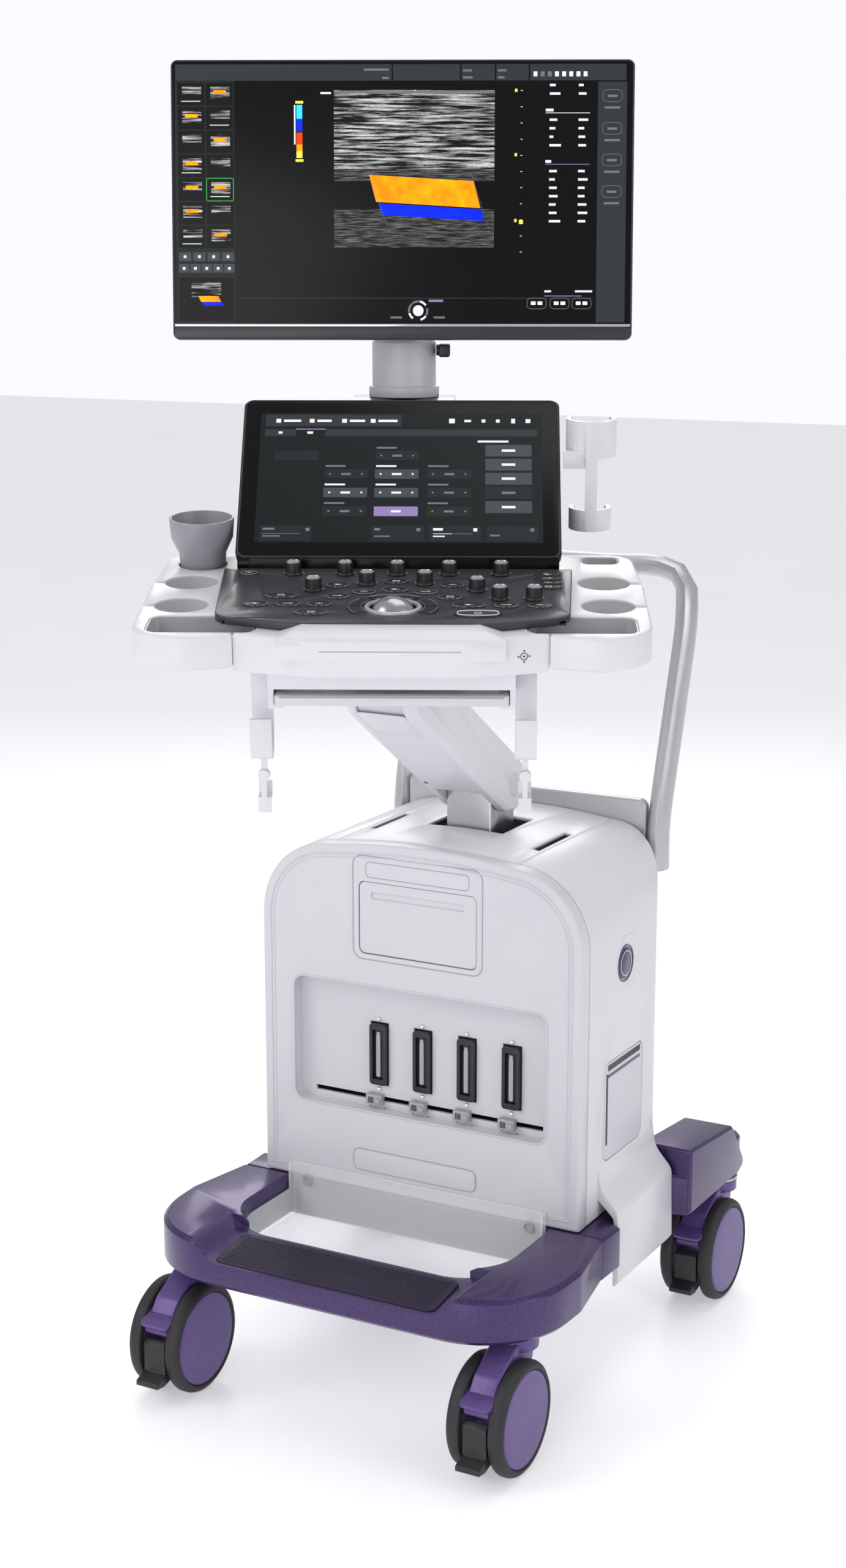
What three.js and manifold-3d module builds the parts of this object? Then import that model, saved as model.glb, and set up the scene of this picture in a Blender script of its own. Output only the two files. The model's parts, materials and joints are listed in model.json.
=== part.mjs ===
// Cart-based ultrasound machine: caster base, electronics body, lift arm, operator console and monitor.
// Units are millimetres. +Z is up, the front of the cart faces -Y, and the floor is at z = 0.
import * as THREE from 'three';
import { mergeVertices } from 'three/addons/utils/BufferGeometryUtils.js';
import Module from 'manifold-3d';

const wasm = await Module();
wasm.setup();

// ---- driving dimensions ------------------------------------------------------------------------
const GAP = 0.4; // clearance between neighbouring pieces
const DEG = Math.PI / 180;

const BODY = { halfWidth: 205, bottom: 197, top: 606, shoulder: 90, front: -150, rear: 120, rearCorner: 80 };
const WALL = 4; // moulded cover wall
const SEAM = 117; // half width of the top cover and rear cover between the side covers
const FACE = { depth: 22, inset: 5 }; // front cover
const CROWN = 8; // rise of the top in the middle

const RECESS = { halfWidth: 164, bottom: 292, top: 445, corner: 14, wall: 4 };
const PORT = { count: 4, pitch: 57.2, centre: 27, bottom: 323, top: 393.6, width: 20 };
const LOCK = { width: 21, height: 13, depth: 9, centreHeight: 303.5, offset: -4 };
const LOCK_TRACK = { from: -145, to: 152, halfHeight: 3 }; // slot the locks slide along
const OPTION = { halfWidth: 76, bottom: 482, top: 568, thickness: 8, corner: 8 };
const DOOR = { front: -84, rear: 22, bottom: 256, top: 374, corner: 12 };

const BASE = { bottom: 145, top: 195, railHalfWidth: 222, noseHalfWidth: 238, legHalfWidth: 252 };
const LEG = { inner: 186, start: 66, end: 246, topFront: 229, topRear: 216 };
const BUMPER = { bottom: 145, top: 197, halfWidth: 250, front: -372, inner: 168, innerFront: -298 };
const BUMPER_SEAM = BODY.front - 0.2; // where the bumper meets the base frame
const STEP = { inner: 184, front: 174, topHalf: 172, floorHalf: 134 }; // footrest scooped out of the bumper
const TRAY = { wall: 3, floor: 149, backTop: 214, rimTop: 182 };
const SKIRT = { front: -98, rear: 58, flareTop: 245, flareBottom: 206, bottom: 117, halfWidth: 232, wall: 5 };

const CASTER = { wheelRadius: 62.5, trail: 37, gap: 16.5, outer: 34, stem: 9, collar: 26, axle: 6 };
const CASTER_PLACES = {
  front_left: [-202, -300],
  front_right: [202, -300],
  rear_left: [-225, 215],
  rear_right: [225, 215],
};
const PEDAL = { pivotForward: 82, pivotHeight: 74 };

const HANDLE = {
  halfSpan: 172, foot: 134, footHeight: 548, kneeHeight: 600, top: 897, lean: 0.275, width: 36, depth: 25,
};
const HANDLE_PLATE = { halfWidth: 160, front: 121.5, rear: 133, bottom: 552, top: 632 };

const LIFT = { pivotY: 5, pivotZ: 662, length: 252, angle: 33.6, halfWidth: 45, radius: 33 };
const CLEVIS = { halfWidth: 29, radius: 30, reach: 46, pin: 8 };
const HEAD = { axisBehindPivot: 24, top: 96, columnRadius: 40, columnBottom: 38 };

const CONSOLE_YAW = 27.4; // rest swivel of the console about the arm head
const CONSOLE_TILT = 7; // the work surface falls towards the operator
const CONSOLE_LIFT = 102; // console datum above the top of the arm head
const DECK = { top: -27, bottom: -35, skin: 4, rear: -163, rearHalf: 176, frontHalf: 168, front: -369 };
const SHELL = { top: -35.4, bottom: -72, halfWidth: 147.8, rear: 95, front: -398, sideFront: -376 };
const PALM = { top: -26.5, half: 80, footHalf: 107, front: -398 };
const WING = { outer: 246, front: -391, rear: -72, bottom: -68, slotX: 207, slotRadius: 27, slit: 10 };
const WING_SLOTS = [-188, -275];
const DISH = { inner: 153, outer: 232, rear: -314, front: -371, depth: 16 };
const CUP = {
  x: -203, y: -115, rim: 14, rimRadius: 33.5, base: -62, baseRadius: 21, neckRadius: 24.5, wall: 2.5,
};
const RIGHT_SLOT = { inner: 187, outer: 227, front: -112, rear: -82, corner: 10 };
const TOUCH = { width: 331, height: 203, tilt: 49, y: -83.6, z: 49.1, thickness: 12 };
const HOOK = { x: 128, halfWidth: 10.5, y: -300, discHeight: -200 };
const KEYBOARD = { halfWidth: 111, top: -97, bottom: -107, front: -372, depth: 150 };
const RAIL = { rear: -185, wallHalf: 2.6, lipHalf: 6 }; // the keyboard tray hangs between two rails
const BALL = { y: -312.5, radius: 22, centre: -37.5 };
const ARC_KEYS = { inner: 30, outer: 43, turn: -45, spans: [[12, 44], [52, 84], [100, 140]] };
const KNOB = { radius: 8, height: 14 };
const KNOB_PLACES = [
  [-104, -188], [-52, -188], [0, -188], [52, -188], [104, -188],
  [-80, -250], [-28.5, -226], [28.5, -226], [80, -250], [102, -281], [135, -281],
];
// Function keys on the deck: x, y, half length, half depth.
const KEYS = [
  [-149, -186, 8, 6], [-110, -272, 15, 8], [-132, -303, 11, 8], [-101, -303, 11, 8], [-71, -303, 11, 8],
  [-77, -333, 15, 8], [-57, -232, 11, 8], [-55, -275, 11, 8], [-30, -258, 11, 7], [0, -218, 11, 8],
  [0, -250, 12, 8], [30, -258, 11, 7], [56, -232, 11, 8], [54, -277, 11, 8], [72, -306, 15, 8],
  [108, -306, 11, 8], [140, -306, 11, 8], [81, -336, 23, 12],
  [150, -190, 13, 5.5], [150, -206, 13, 5.5], [150, -222, 13, 5.5], [150, -238, 13, 5.5],
];

const NECK = { y: 62, z: 214.5, radius: 34.5, collar: 38, collarTop: 11, top: 62, hinge: 175.5 };
const MONITOR = { width: 482, height: 286, face: -64.5, centre: 24, thickness: 14, tilt: 5.4, corner: 7 };

// ---- finishes ----------------------------------------------------------------------------------
function finish(color, roughness, metalness = 0, extra = {}) {
  return new THREE.MeshStandardMaterial({ color, roughness, metalness, ...extra });
}
const WHITE = finish(0xe9e6ea, 0.45);
const GREY = finish(0xc4c2c8, 0.5);
const SILVER = finish(0x9a989f, 0.4, 0.5);
const CHARCOAL = finish(0x3d3b41, 0.45, 0.2);
const BLACK_GLASS = finish(0x08080a, 0.08);
const BLACK = finish(0x141416, 0.6);
const PURPLE = finish(0x54417c, 0.35, 0.5);
const DARK_PURPLE = finish(0x2d2640, 0.5, 0.3);
const RUBBER = finish(0x1b1c1e, 0.8);
const CLEAR = finish(0xe8eef0, 0.05, 0, { transparent: true, opacity: 0.35 });
const STEEL = finish(0xa8abb0, 0.35, 0.9);
const BOARD = finish(0x2b3340, 0.6, 0.3);

// ---- geometry helpers --------------------------------------------------------------------------
function solid(geometry) {
  const bare = geometry.clone();
  bare.deleteAttribute('normal');
  bare.deleteAttribute('uv');
  const merged = mergeVertices(bare, 1e-4);
  const vertProperties = Float32Array.from(merged.attributes.position.array);
  const triVerts = Uint32Array.from(merged.index.array);
  return new wasm.Manifold(new wasm.Mesh({ numProp: 3, vertProperties, triVerts }));
}

function surface(manifold) {
  const mesh = manifold.getMesh();
  const geometry = new THREE.BufferGeometry();
  geometry.setAttribute('position', new THREE.Float32BufferAttribute(mesh.vertProperties, 3));
  geometry.setIndex(new THREE.Uint32BufferAttribute(mesh.triVerts, 1));
  geometry.computeVertexNormals();
  return geometry;
}

function join(...geometries) {
  return surface(geometries.map(solid).reduce((sum, next) => sum.add(next)));
}

function cut(geometry, ...tools) {
  return surface(tools.map(solid).reduce((rest, tool) => rest.subtract(tool), solid(geometry)));
}

function common(first, second) {
  return surface(solid(first).intersect(solid(second)));
}

function piece(parent, name, geometry, material) {
  const mesh = new THREE.Mesh(geometry, material);
  mesh.name = name;
  parent.add(mesh);
  return mesh;
}

function pivot(parent, x, y, z) {
  const group = new THREE.Group();
  group.position.set(x, y, z);
  parent.add(group);
  return group;
}

function box(x0, x1, y0, y1, z0, z1) {
  const geometry = new THREE.BoxGeometry(x1 - x0, y1 - y0, z1 - z0);
  geometry.translate((x0 + x1) / 2, (y0 + y1) / 2, (z0 + z1) / 2);
  return geometry;
}

// Closed outline through corners given as [u, v, radius], with a true arc at each rounded corner.
function outline(corners) {
  const shape = new THREE.Shape();
  const count = corners.length;
  for (let i = 0; i < count; i += 1) {
    const [px, py, radius = 0] = corners[i];
    const here = new THREE.Vector2(px, py);
    const before = new THREE.Vector2(...corners[(i + count - 1) % count]).sub(here).normalize();
    const after = new THREE.Vector2(...corners[(i + 1) % count]).sub(here).normalize();
    const draw = i === 0 ? 'moveTo' : 'lineTo';
    if (radius === 0) {
      shape[draw](px, py);
      continue;
    }
    const half = Math.acos(THREE.MathUtils.clamp(before.dot(after), -1, 1)) / 2;
    const start = here.clone().addScaledVector(before, radius / Math.tan(half));
    const end = here.clone().addScaledVector(after, radius / Math.tan(half));
    const middle = before.clone().add(after).normalize();
    const centre = here.clone().addScaledVector(middle, radius / Math.sin(half));
    const clockwise = before.cross(after) > 0;
    shape[draw](start.x, start.y);
    const from = Math.atan2(start.y - centre.y, start.x - centre.x);
    const to = Math.atan2(end.y - centre.y, end.x - centre.x);
    shape.absarc(centre.x, centre.y, radius, from, to, clockwise);
  }
  shape.closePath();
  return shape;
}

function mirrored(corners) {
  return [...corners, ...corners.slice().reverse().map(([u, v, radius]) => [-u, v, radius])];
}

function rectangle(u0, u1, v0, v1, radius = 0) {
  return outline([[u0, v0, radius], [u1, v0, radius], [u1, v1, radius], [u0, v1, radius]]);
}

// Prism of a flat shape. Along z the shape is (x, y), along y it is (x, z), along x it is (y, z).
function prism(shape, axis, from, to, bevel = 0, curveSegments = 5) {
  const geometry = new THREE.ExtrudeGeometry(shape, {
    depth: to - from - 2 * bevel,
    curveSegments,
    bevelEnabled: bevel > 0,
    bevelSize: bevel,
    bevelThickness: bevel,
    bevelOffset: -bevel,
    bevelSegments: 1,
  });
  geometry.translate(0, 0, bevel);
  if (axis === 'y') {
    geometry.rotateX(Math.PI / 2);
    geometry.translate(0, to, 0);
  } else if (axis === 'x') {
    const turn = new THREE.Matrix4().makeBasis(
      new THREE.Vector3(0, 1, 0),
      new THREE.Vector3(0, 0, 1),
      new THREE.Vector3(1, 0, 0),
    );
    geometry.applyMatrix4(turn);
    geometry.translate(from, 0, 0);
  } else {
    geometry.translate(0, 0, from);
  }
  return geometry;
}

function rod(radius, axis, from, to, a, b, segments = 16) {
  const geometry = new THREE.CylinderGeometry(radius, radius, to - from, segments);
  const middle = (from + to) / 2;
  if (axis === 'x') {
    geometry.rotateZ(Math.PI / 2);
    geometry.translate(middle, a, b);
  } else if (axis === 'z') {
    geometry.rotateX(Math.PI / 2);
    geometry.translate(a, b, middle);
  } else {
    geometry.translate(a, middle, b);
  }
  return geometry;
}

// Turned solid about z from a profile of [radius, height] listed upwards.
function turned(profile, segments) {
  const points = profile.map(([radius, height]) => new THREE.Vector2(radius, height));
  const geometry = new THREE.LatheGeometry(points, segments);
  geometry.rotateX(Math.PI / 2);
  return geometry;
}

// ---- body shell --------------------------------------------------------------------------------
function arch(inset) {
  const half = BODY.halfWidth - inset;
  const radius = BODY.shoulder - inset;
  const bottom = BODY.bottom - (inset > 0 ? 10 : 0);
  const centre = half - radius;
  const top = BODY.top - inset;
  const shape = new THREE.Shape();
  shape.moveTo(-half, bottom);
  shape.lineTo(half, bottom);
  shape.absarc(centre, top - radius, radius, 0, Math.PI / 2, false);
  shape.quadraticCurveTo(0, top + 2 * CROWN, -centre, top);
  shape.absarc(-centre, top - radius, radius, Math.PI / 2, Math.PI, false);
  shape.closePath();
  return shape;
}

function shellBlock(inset) {
  const half = BODY.halfWidth - inset;
  const radius = BODY.rearCorner - inset;
  const front = BODY.front + FACE.depth + GAP - (inset > 0 ? 10 : 0);
  const rear = BODY.rear - inset;
  const plan = outline([[-half, front, 0], [half, front, 0], [half, rear, radius], [-half, rear, radius]]);
  const bottom = BODY.bottom - (inset > 0 ? 10 : 0);
  return common(
    prism(arch(inset), 'y', front, BODY.rear + 1, 0, 7), prism(plan, 'z', bottom, BODY.top + CROWN + 1, 0, 6),
  );
}

function portCentres() {
  const first = PORT.centre - ((PORT.count - 1) * PORT.pitch) / 2;
  return Array.from({ length: PORT.count }, (_, i) => first + i * PORT.pitch);
}

function frontCover() {
  const front = BODY.front;
  const back = front + FACE.depth;
  const recess = RECESS;
  const sill = BODY.halfWidth - 2;
  const plate = prism(arch(0), 'y', front, back, 2, 7);
  const hollow = prism(arch(FACE.inset), 'y', front + FACE.inset, back + 1, 0, 7);
  const floor = box(-sill, sill, front + 1, back - 1, BODY.bottom, BODY.bottom + WALL);
  const wide = recess.halfWidth + WALL;
  const surround = box(-wide, wide, front + 1, back, recess.bottom - WALL, recess.top + WALL);
  const pocket = prism(
    rectangle(-recess.halfWidth, recess.halfWidth, recess.bottom, recess.top, recess.corner),
    'y', front - 1, back - recess.wall,
  );
  const windows = portCentres().map((x) => box(
    x - PORT.width / 2 - 2, x + PORT.width / 2 + 2, back - 8, back + 1, PORT.bottom - 3, PORT.top + 3,
  ));
  const track = box(
    LOCK_TRACK.from, LOCK_TRACK.to, back - 8, back + 1,
    LOCK.centreHeight - LOCK_TRACK.halfHeight, LOCK.centreHeight + LOCK_TRACK.halfHeight,
  );
  const option = prism(
    rectangle(-OPTION.halfWidth, OPTION.halfWidth, OPTION.bottom, OPTION.top, OPTION.corner),
    'y', front - 1, back + 1,
  );
  return cut(join(cut(plate, hollow), floor, surround), pocket, ...windows, track, option);
}

function optionCover() {
  const o = OPTION;
  const shape = rectangle(
    -o.halfWidth + 0.8, o.halfWidth - 0.8, o.bottom + 0.8, o.top - 0.8, o.corner - 0.8,
  );
  const groove = rectangle(-60, 60, o.top - 20, o.top - 12, 3);
  const grip = prism(groove, 'y', BODY.front - 1, BODY.front + 3, 0, 2);
  return cut(prism(shape, 'y', BODY.front + 0.5, BODY.front + o.thickness, 1, 3), grip);
}

function connectorBoard() {
  const back = BODY.front + FACE.depth;
  const board = box(-130, 160, back + 2, back + 5, PORT.bottom - 12, PORT.top + 12);
  const blocks = portCentres().map((x) => cut(
    box(x - PORT.width / 2, x + PORT.width / 2, back - 9, back + 3, PORT.bottom, PORT.top),
    box(x - PORT.width / 2 + 3, x + PORT.width / 2 - 3, back - 10, back - 1, PORT.bottom + 5, PORT.top - 5),
  ));
  return join(board, ...blocks);
}

function portLock() {
  const head = prism(
    rectangle(-LOCK.width / 2, LOCK.width / 2, -LOCK.height / 2, LOCK.height / 2, 2),
    'y', -LOCK.depth - GAP, -GAP, 1, 2,
  );
  const neck = box(-7, 7, -2, RECESS.wall + 3, -2.5, 2.5);
  const pin = rod(3.5, 'y', -LOCK.depth - GAP - 3, -LOCK.depth, 6.5, 0, 10);
  return join(head, neck, pin);
}

function sideCover(shell, side) {
  const inner = Math.min(side * (SEAM + GAP / 2), side * 300);
  const outer = Math.max(side * (SEAM + GAP / 2), side * 300);
  const half = common(shell, box(inner, outer, -200, 200, 100, 700));
  const inside = SKIRT.halfWidth - SKIRT.wall - 2;
  const flare = outline([
    [BODY.halfWidth - 0.5, SKIRT.flareTop + 14], [BODY.halfWidth + 3, SKIRT.flareTop - 14, 30],
    [SKIRT.halfWidth - 2, SKIRT.flareBottom, 16], [SKIRT.halfWidth, SKIRT.bottom + 6, 0],
    [SKIRT.halfWidth - 4, SKIRT.bottom], [inside, SKIRT.bottom],
    [inside, SKIRT.flareBottom - 8, 8], [BODY.halfWidth - WALL + 0.5, SKIRT.flareTop - 24],
  ].map(([x, z, radius = 0]) => [side * x, z, radius]));
  const overLeg = box(-300, 300, LEG.start - 6, 140, 190, LEG.topFront + 3);
  const cover = join(cut(half, overLeg), prism(flare, 'y', SKIRT.front, SKIRT.rear, 0, 3));
  if (side < 0) {
    return cover;
  }
  const doorway = prism(rectangle(DOOR.front, DOOR.rear, DOOR.bottom, DOOR.top, DOOR.corner), 'x', 190, 240);
  return cut(cover, doorway);
}

function filterDoor() {
  const shape = rectangle(
    DOOR.front + 0.8, DOOR.rear - 0.8, DOOR.bottom + 0.8, DOOR.top - 0.8, DOOR.corner - 0.8,
  );
  const outer = BODY.halfWidth;
  const plate = prism(shape, 'x', outer - 3.5, outer, 0.8, 3);
  const frame = rectangle(DOOR.front + 8, DOOR.rear - 8, DOOR.bottom + 8, DOOR.top - 8, 4);
  return join(plate, prism(frame, 'x', outer - 12, outer - 3, 0, 2));
}

function topCover() {
  const half = SEAM - GAP / 2;
  const rise = BODY.top + 2 * CROWN;
  const shape = new THREE.Shape();
  shape.moveTo(-half, BODY.top);
  shape.quadraticCurveTo(0, rise, half, BODY.top);
  shape.lineTo(half, BODY.top - WALL);
  shape.quadraticCurveTo(0, rise - WALL, -half, BODY.top - WALL);
  shape.closePath();
  const roof = prism(shape, 'y', BODY.front + FACE.depth + GAP, BODY.rear - 0.5, 0, 10);
  const reach = CLEVIS.halfWidth + 20;
  const opening = box(-reach, reach, LIFT.pivotY - 40, LIFT.pivotY + 40, 560, 680);
  const grips = [-1, 1].map((side) => box(side * 106 - 5, side * 106 + 5, -66, 22, 560, 680));
  return cut(roof, opening, ...grips);
}

function rearCover() {
  const half = SEAM - GAP / 2;
  const plate = box(-half, half, BODY.rear - WALL, BODY.rear, BODY.bottom, BODY.top - WALL - 0.6);
  const louvres = Array.from({ length: 7 }, (_, i) => box(-80, 80, 100, 140, 300 + i * 18, 306 + i * 18));
  const inlet = box(-26, 26, 100, 140, 225, 255);
  return cut(plate, ...louvres, inlet);
}

function electronicsCage() {
  const block = box(-150, 150, -95, 105, 205, 540);
  const fanRelief = box(-160, -140, -60, 60, 300, 420);
  return cut(block, fanRelief);
}

// ---- caster base -------------------------------------------------------------------------------
function stemHoles(names) {
  return names.map((name) => {
    const [x, y] = CASTER_PLACES[name];
    return rod(CASTER.stem + GAP, 'z', 100, 180, x, y, 12);
  });
}

function baseFrame() {
  const edge = BUMPER_SEAM;
  const plan = outline(mirrored([
    [BASE.noseHalfWidth - 2, edge, 0], [BASE.noseHalfWidth, SKIRT.front - 8, 5],
    [BASE.railHalfWidth, SKIRT.front - 3, 0], [BASE.railHalfWidth, LEG.start - 5, 0],
    [BASE.legHalfWidth - 2, LEG.start, 8], [BASE.legHalfWidth, LEG.end, 26], [LEG.inner, LEG.end, 26],
    [LEG.inner - 26, LEG.start + 60, 30],
  ]));
  const platform = prism(plan, 'z', BASE.bottom, BASE.top, 3, 3);
  const leg = outline([
    [LEG.start, BASE.bottom + 4, 0], [LEG.start, LEG.topFront, 4], [LEG.end - 46, LEG.topRear, 8],
    [LEG.end, BASE.bottom + 8, 10], [LEG.end - 30, BASE.bottom, 4],
  ]);
  const legs = [-1, 1].map((side) => {
    const from = side > 0 ? LEG.inner : -BASE.legHalfWidth;
    return prism(leg, 'x', from, from + BASE.legHalfWidth - LEG.inner, 3, 3);
  });
  return cut(join(platform, ...legs), ...stemHoles(['rear_left', 'rear_right']));
}

function frontBumper() {
  const b = BUMPER;
  const edge = BUMPER_SEAM - GAP;
  const outside = mirrored([
    [BASE.noseHalfWidth - 2, edge, 0], [b.halfWidth + 2, edge - 90, 40], [b.halfWidth - 4, b.front, 105],
  ]);
  const inside = mirrored([[-b.inner, edge, 0], [-b.inner, b.innerFront, 60]]);
  const ring = outline([...outside, ...inside]);
  const bar = prism(ring, 'z', b.bottom, b.top, 5, 7);
  const scoop = outline([
    [b.front - 10, b.top + 5], [b.innerFront + 10, b.top + 5], [b.innerFront + 10, STEP.inner],
    [b.innerFront, STEP.inner], [b.front, STEP.front], [b.front - 10, STEP.front],
  ]);
  const span = outline(mirrored([[STEP.topHalf, b.top + 5, 0], [STEP.floorHalf, STEP.front - 5, 0]]));
  const wide = STEP.topHalf + 20;
  const step = common(prism(scoop, 'x', -wide, wide), prism(span, 'y', b.front - 20, b.innerFront + 20));
  return cut(bar, step, ...stemHoles(['front_left', 'front_right']));
}

function clearTray() {
  const back = BUMPER_SEAM - GAP;
  const half = BUMPER.inner - 1;
  const front = BUMPER.innerFront + 1;
  const corners = (inset) => [
    [-half + inset, back - inset, 4], [half - inset, back - inset, 4],
    [half - inset, front + inset, 58 - inset], [-half + inset, front + inset, 58 - inset],
  ];
  const block = prism(outline(corners(0)), 'z', TRAY.floor - TRAY.wall, TRAY.backTop, 0, 6);
  const inside = prism(outline(corners(TRAY.wall)), 'z', TRAY.floor, TRAY.backTop + 1, 0, 6);
  const lowRim = box(-half - 1, half + 1, front - 1, back - 12, TRAY.rimTop, TRAY.backTop + 1);
  return cut(block, inside, lowRim);
}

function casterYoke() {
  const c = CASTER;
  const half = c.gap - 1;
  const cheek = outline([
    [14, 137], [-26, 137, 10], [-66, 116, 18], [-92, 84, 4], [-84, 78, 2],
    [-60, 66, 4], [-48, 50, 6], [-26, 50, 8], [14, 112, 20],
  ]);
  const block = prism(cheek, 'x', -half, half, 1.5, 2);
  const collar = rod(c.collar, 'z', 127, BASE.bottom - GAP, 0, 0, 18);
  const stem = rod(c.stem, 'z', 130, 176, 0, 0, 10);
  const hole = rod(c.axle + GAP, 'x', -40, 40, -c.trail, c.wheelRadius, 10);
  return cut(join(block, collar, stem), hole);
}

function casterWheels() {
  const c = CASTER;
  const r = c.wheelRadius;
  const half = [
    [0, -c.outer], [r - 5, -c.outer], [r, -c.outer + 6], [r, -c.gap - 3], [r - 3, -c.gap], [c.axle, -c.gap],
  ];
  const profile = [...half, ...half.slice().reverse().map(([radius, height]) => [radius, -height])];
  const geometry = turned(profile, 24);
  geometry.rotateY(Math.PI / 2);
  return geometry;
}

function casterPedal() {
  const half = CASTER.gap - 2;
  const lever = outline([
    [-6, 2, 2], [4, -10, 0], [2, -46, 0], [-14, -50, 0],
    [-28, -48, 0], [-28, -42, 0], [-12, -36, 0], [-13, -4, 0],
  ]);
  return prism(lever, 'x', -half, half, 0, 2);
}

function addCasters(machine) {
  for (const [place, [x, y]] of Object.entries(CASTER_PLACES)) {
    const swivel = pivot(machine, x, y, 0);
    piece(swivel, `caster_yoke_${place}`, casterYoke(), PURPLE);
    const axle = pivot(swivel, 0, -CASTER.trail, CASTER.wheelRadius);
    piece(axle, `caster_wheels_${place}`, casterWheels(), RUBBER);
    const pedal = pivot(swivel, 0, -PEDAL.pivotForward, PEDAL.pivotHeight);
    piece(pedal, `caster_pedal_${place}`, casterPedal(), BLACK);
  }
}

// ---- rear handle -------------------------------------------------------------------------------
function rearHandle() {
  const h = HANDLE;
  const at = (x, z) => new THREE.Vector3(x, h.foot + Math.max(0, z - h.kneeHeight) * h.lean, z);
  const right = [
    at(h.halfSpan, h.footHeight), at(h.halfSpan, h.kneeHeight), at(h.halfSpan + 1, 730),
    at(h.halfSpan + 1, 850), at(h.halfSpan - 8, 885), at(h.halfSpan - 34, h.top), at(60, h.top),
  ];
  const left = right.slice().reverse().map((point) => new THREE.Vector3(-point.x, point.y, point.z));
  const path = new THREE.CatmullRomCurve3([...right, ...left], false, 'centripetal');
  const section = new THREE.Shape();
  section.absellipse(0, 0, h.depth / 2, h.width / 2, 0, Math.PI * 2, false);
  const tube = new THREE.ExtrudeGeometry(section, { steps: 46, extrudePath: path, curveSegments: 5 });
  const p = HANDLE_PLATE;
  const face = rectangle(-p.halfWidth, p.halfWidth, p.bottom, p.top, 10);
  const plate = prism(face, 'y', p.front, p.rear, 1.5, 3);
  return join(tube, plate);
}

// ---- lift arm ----------------------------------------------------------------------------------
function capsule(length, radius) {
  const shape = new THREE.Shape();
  shape.absarc(0, 0, radius, -Math.PI / 2, Math.PI / 2, false);
  shape.absarc(-length, 0, radius, Math.PI / 2, (3 * Math.PI) / 2, false);
  shape.closePath();
  return shape;
}

function armBase() {
  const c = CLEVIS;
  const post = new THREE.Shape();
  post.absarc(LIFT.pivotY, LIFT.pivotZ, c.radius, 0, Math.PI, false);
  post.lineTo(LIFT.pivotY - c.radius, 560);
  post.lineTo(LIFT.pivotY + c.radius, 560);
  post.closePath();
  const foot = box(-60, 60, LIFT.pivotY - 45, LIFT.pivotY + 45, 552, 562);
  const pin = rod(c.pin, 'x', -LIFT.halfWidth + 2, LIFT.halfWidth - 2, LIFT.pivotY, LIFT.pivotZ, 16);
  return join(prism(post, 'x', -c.halfWidth, c.halfWidth, 1, 8), foot, pin);
}

function liftArm() {
  const c = CLEVIS;
  const length = LIFT.length;
  const beam = prism(capsule(length, LIFT.radius), 'x', -LIFT.halfWidth, LIFT.halfWidth, 5, 8);
  const fork = box(-c.halfWidth - 1, c.halfWidth + 1, -c.reach, 60, -60, 60);
  const topFork = box(-c.halfWidth - 1, c.halfWidth + 1, -length - 60, -length + c.reach, -60, 60);
  const hole = rod(c.pin + GAP, 'x', -60, 60, 0, 0, 16);
  const topHole = rod(c.pin + GAP, 'x', -60, 60, -length, 0, 16);
  return cut(beam, fork, topFork, hole, topHole);
}

function armHead() {
  const c = CLEVIS;
  const tongue = new THREE.Shape();
  tongue.absarc(0, 0, c.radius, Math.PI, Math.PI * 2, false);
  tongue.lineTo(c.radius + 6, 12);
  tongue.lineTo(c.radius + 6, HEAD.columnBottom + 4);
  tongue.lineTo(-c.radius + 14, HEAD.columnBottom + 4);
  tongue.closePath();
  const block = prism(tongue, 'x', -c.halfWidth, c.halfWidth, 1, 8);
  const { columnRadius, columnBottom } = HEAD;
  const column = turned([
    [0, columnBottom], [columnRadius - 4, columnBottom], [columnRadius, columnBottom + 4],
    [columnRadius, HEAD.top], [0, HEAD.top],
  ], 28);
  column.translate(0, HEAD.axisBehindPivot, 0);
  const pin = rod(c.pin, 'x', -LIFT.halfWidth + 2, LIFT.halfWidth - 2, 0, 0, 16);
  return join(block, column, pin);
}

// ---- console -----------------------------------------------------------------------------------
function deckOutline(grow) {
  const d = DECK;
  return outline([
    [d.rearHalf + grow, d.rear + grow, 3], [-d.rearHalf - grow, d.rear + grow, 3],
    [-d.frontHalf - grow, d.front + 26 - grow, 22], [-90, d.front - grow, 160], [90, d.front - grow, 160],
    [d.frontHalf + grow, d.front + 26 - grow, 22],
  ]);
}

function keyPrisms(grow, bottom, top) {
  const round = KEYS.map(([x, y, halfLength, halfDepth]) => {
    const shape = new THREE.Shape();
    shape.absellipse(x, y, halfLength + grow, halfDepth + grow, 0, Math.PI * 2, false);
    return prism(shape, 'z', bottom, top, 0, 6);
  });
  const arcs = [-1, 1].flatMap((side) => ARC_KEYS.spans.map(([from, to]) => {
    const shape = new THREE.Shape();
    const start = (from + ARC_KEYS.turn) * DEG;
    const end = (to + ARC_KEYS.turn) * DEG;
    const inner = ARC_KEYS.inner - grow;
    const outer = ARC_KEYS.outer + grow;
    const swing = (2 * grow) / (inner + outer);
    shape.absarc(0, BALL.y, outer, start - swing, end + swing, false);
    shape.absarc(0, BALL.y, inner, end + swing, start - swing, true);
    shape.closePath();
    const geometry = prism(shape, 'z', bottom, top, 0, 3);
    if (side < 0) {
      geometry.scale(-1, 1, 1);
      flipFaces(geometry);
    }
    return geometry;
  }));
  return [...round, ...arcs];
}

// A mirrored geometry has its faces inside out; swapping two corners of each triangle mends that.
function flipFaces(geometry) {
  const position = geometry.attributes.position;
  for (let i = 0; i < position.count; i += 3) {
    const keep = [position.getX(i), position.getY(i), position.getZ(i)];
    position.setXYZ(i, position.getX(i + 1), position.getY(i + 1), position.getZ(i + 1));
    position.setXYZ(i + 1, ...keep);
  }
}

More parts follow.
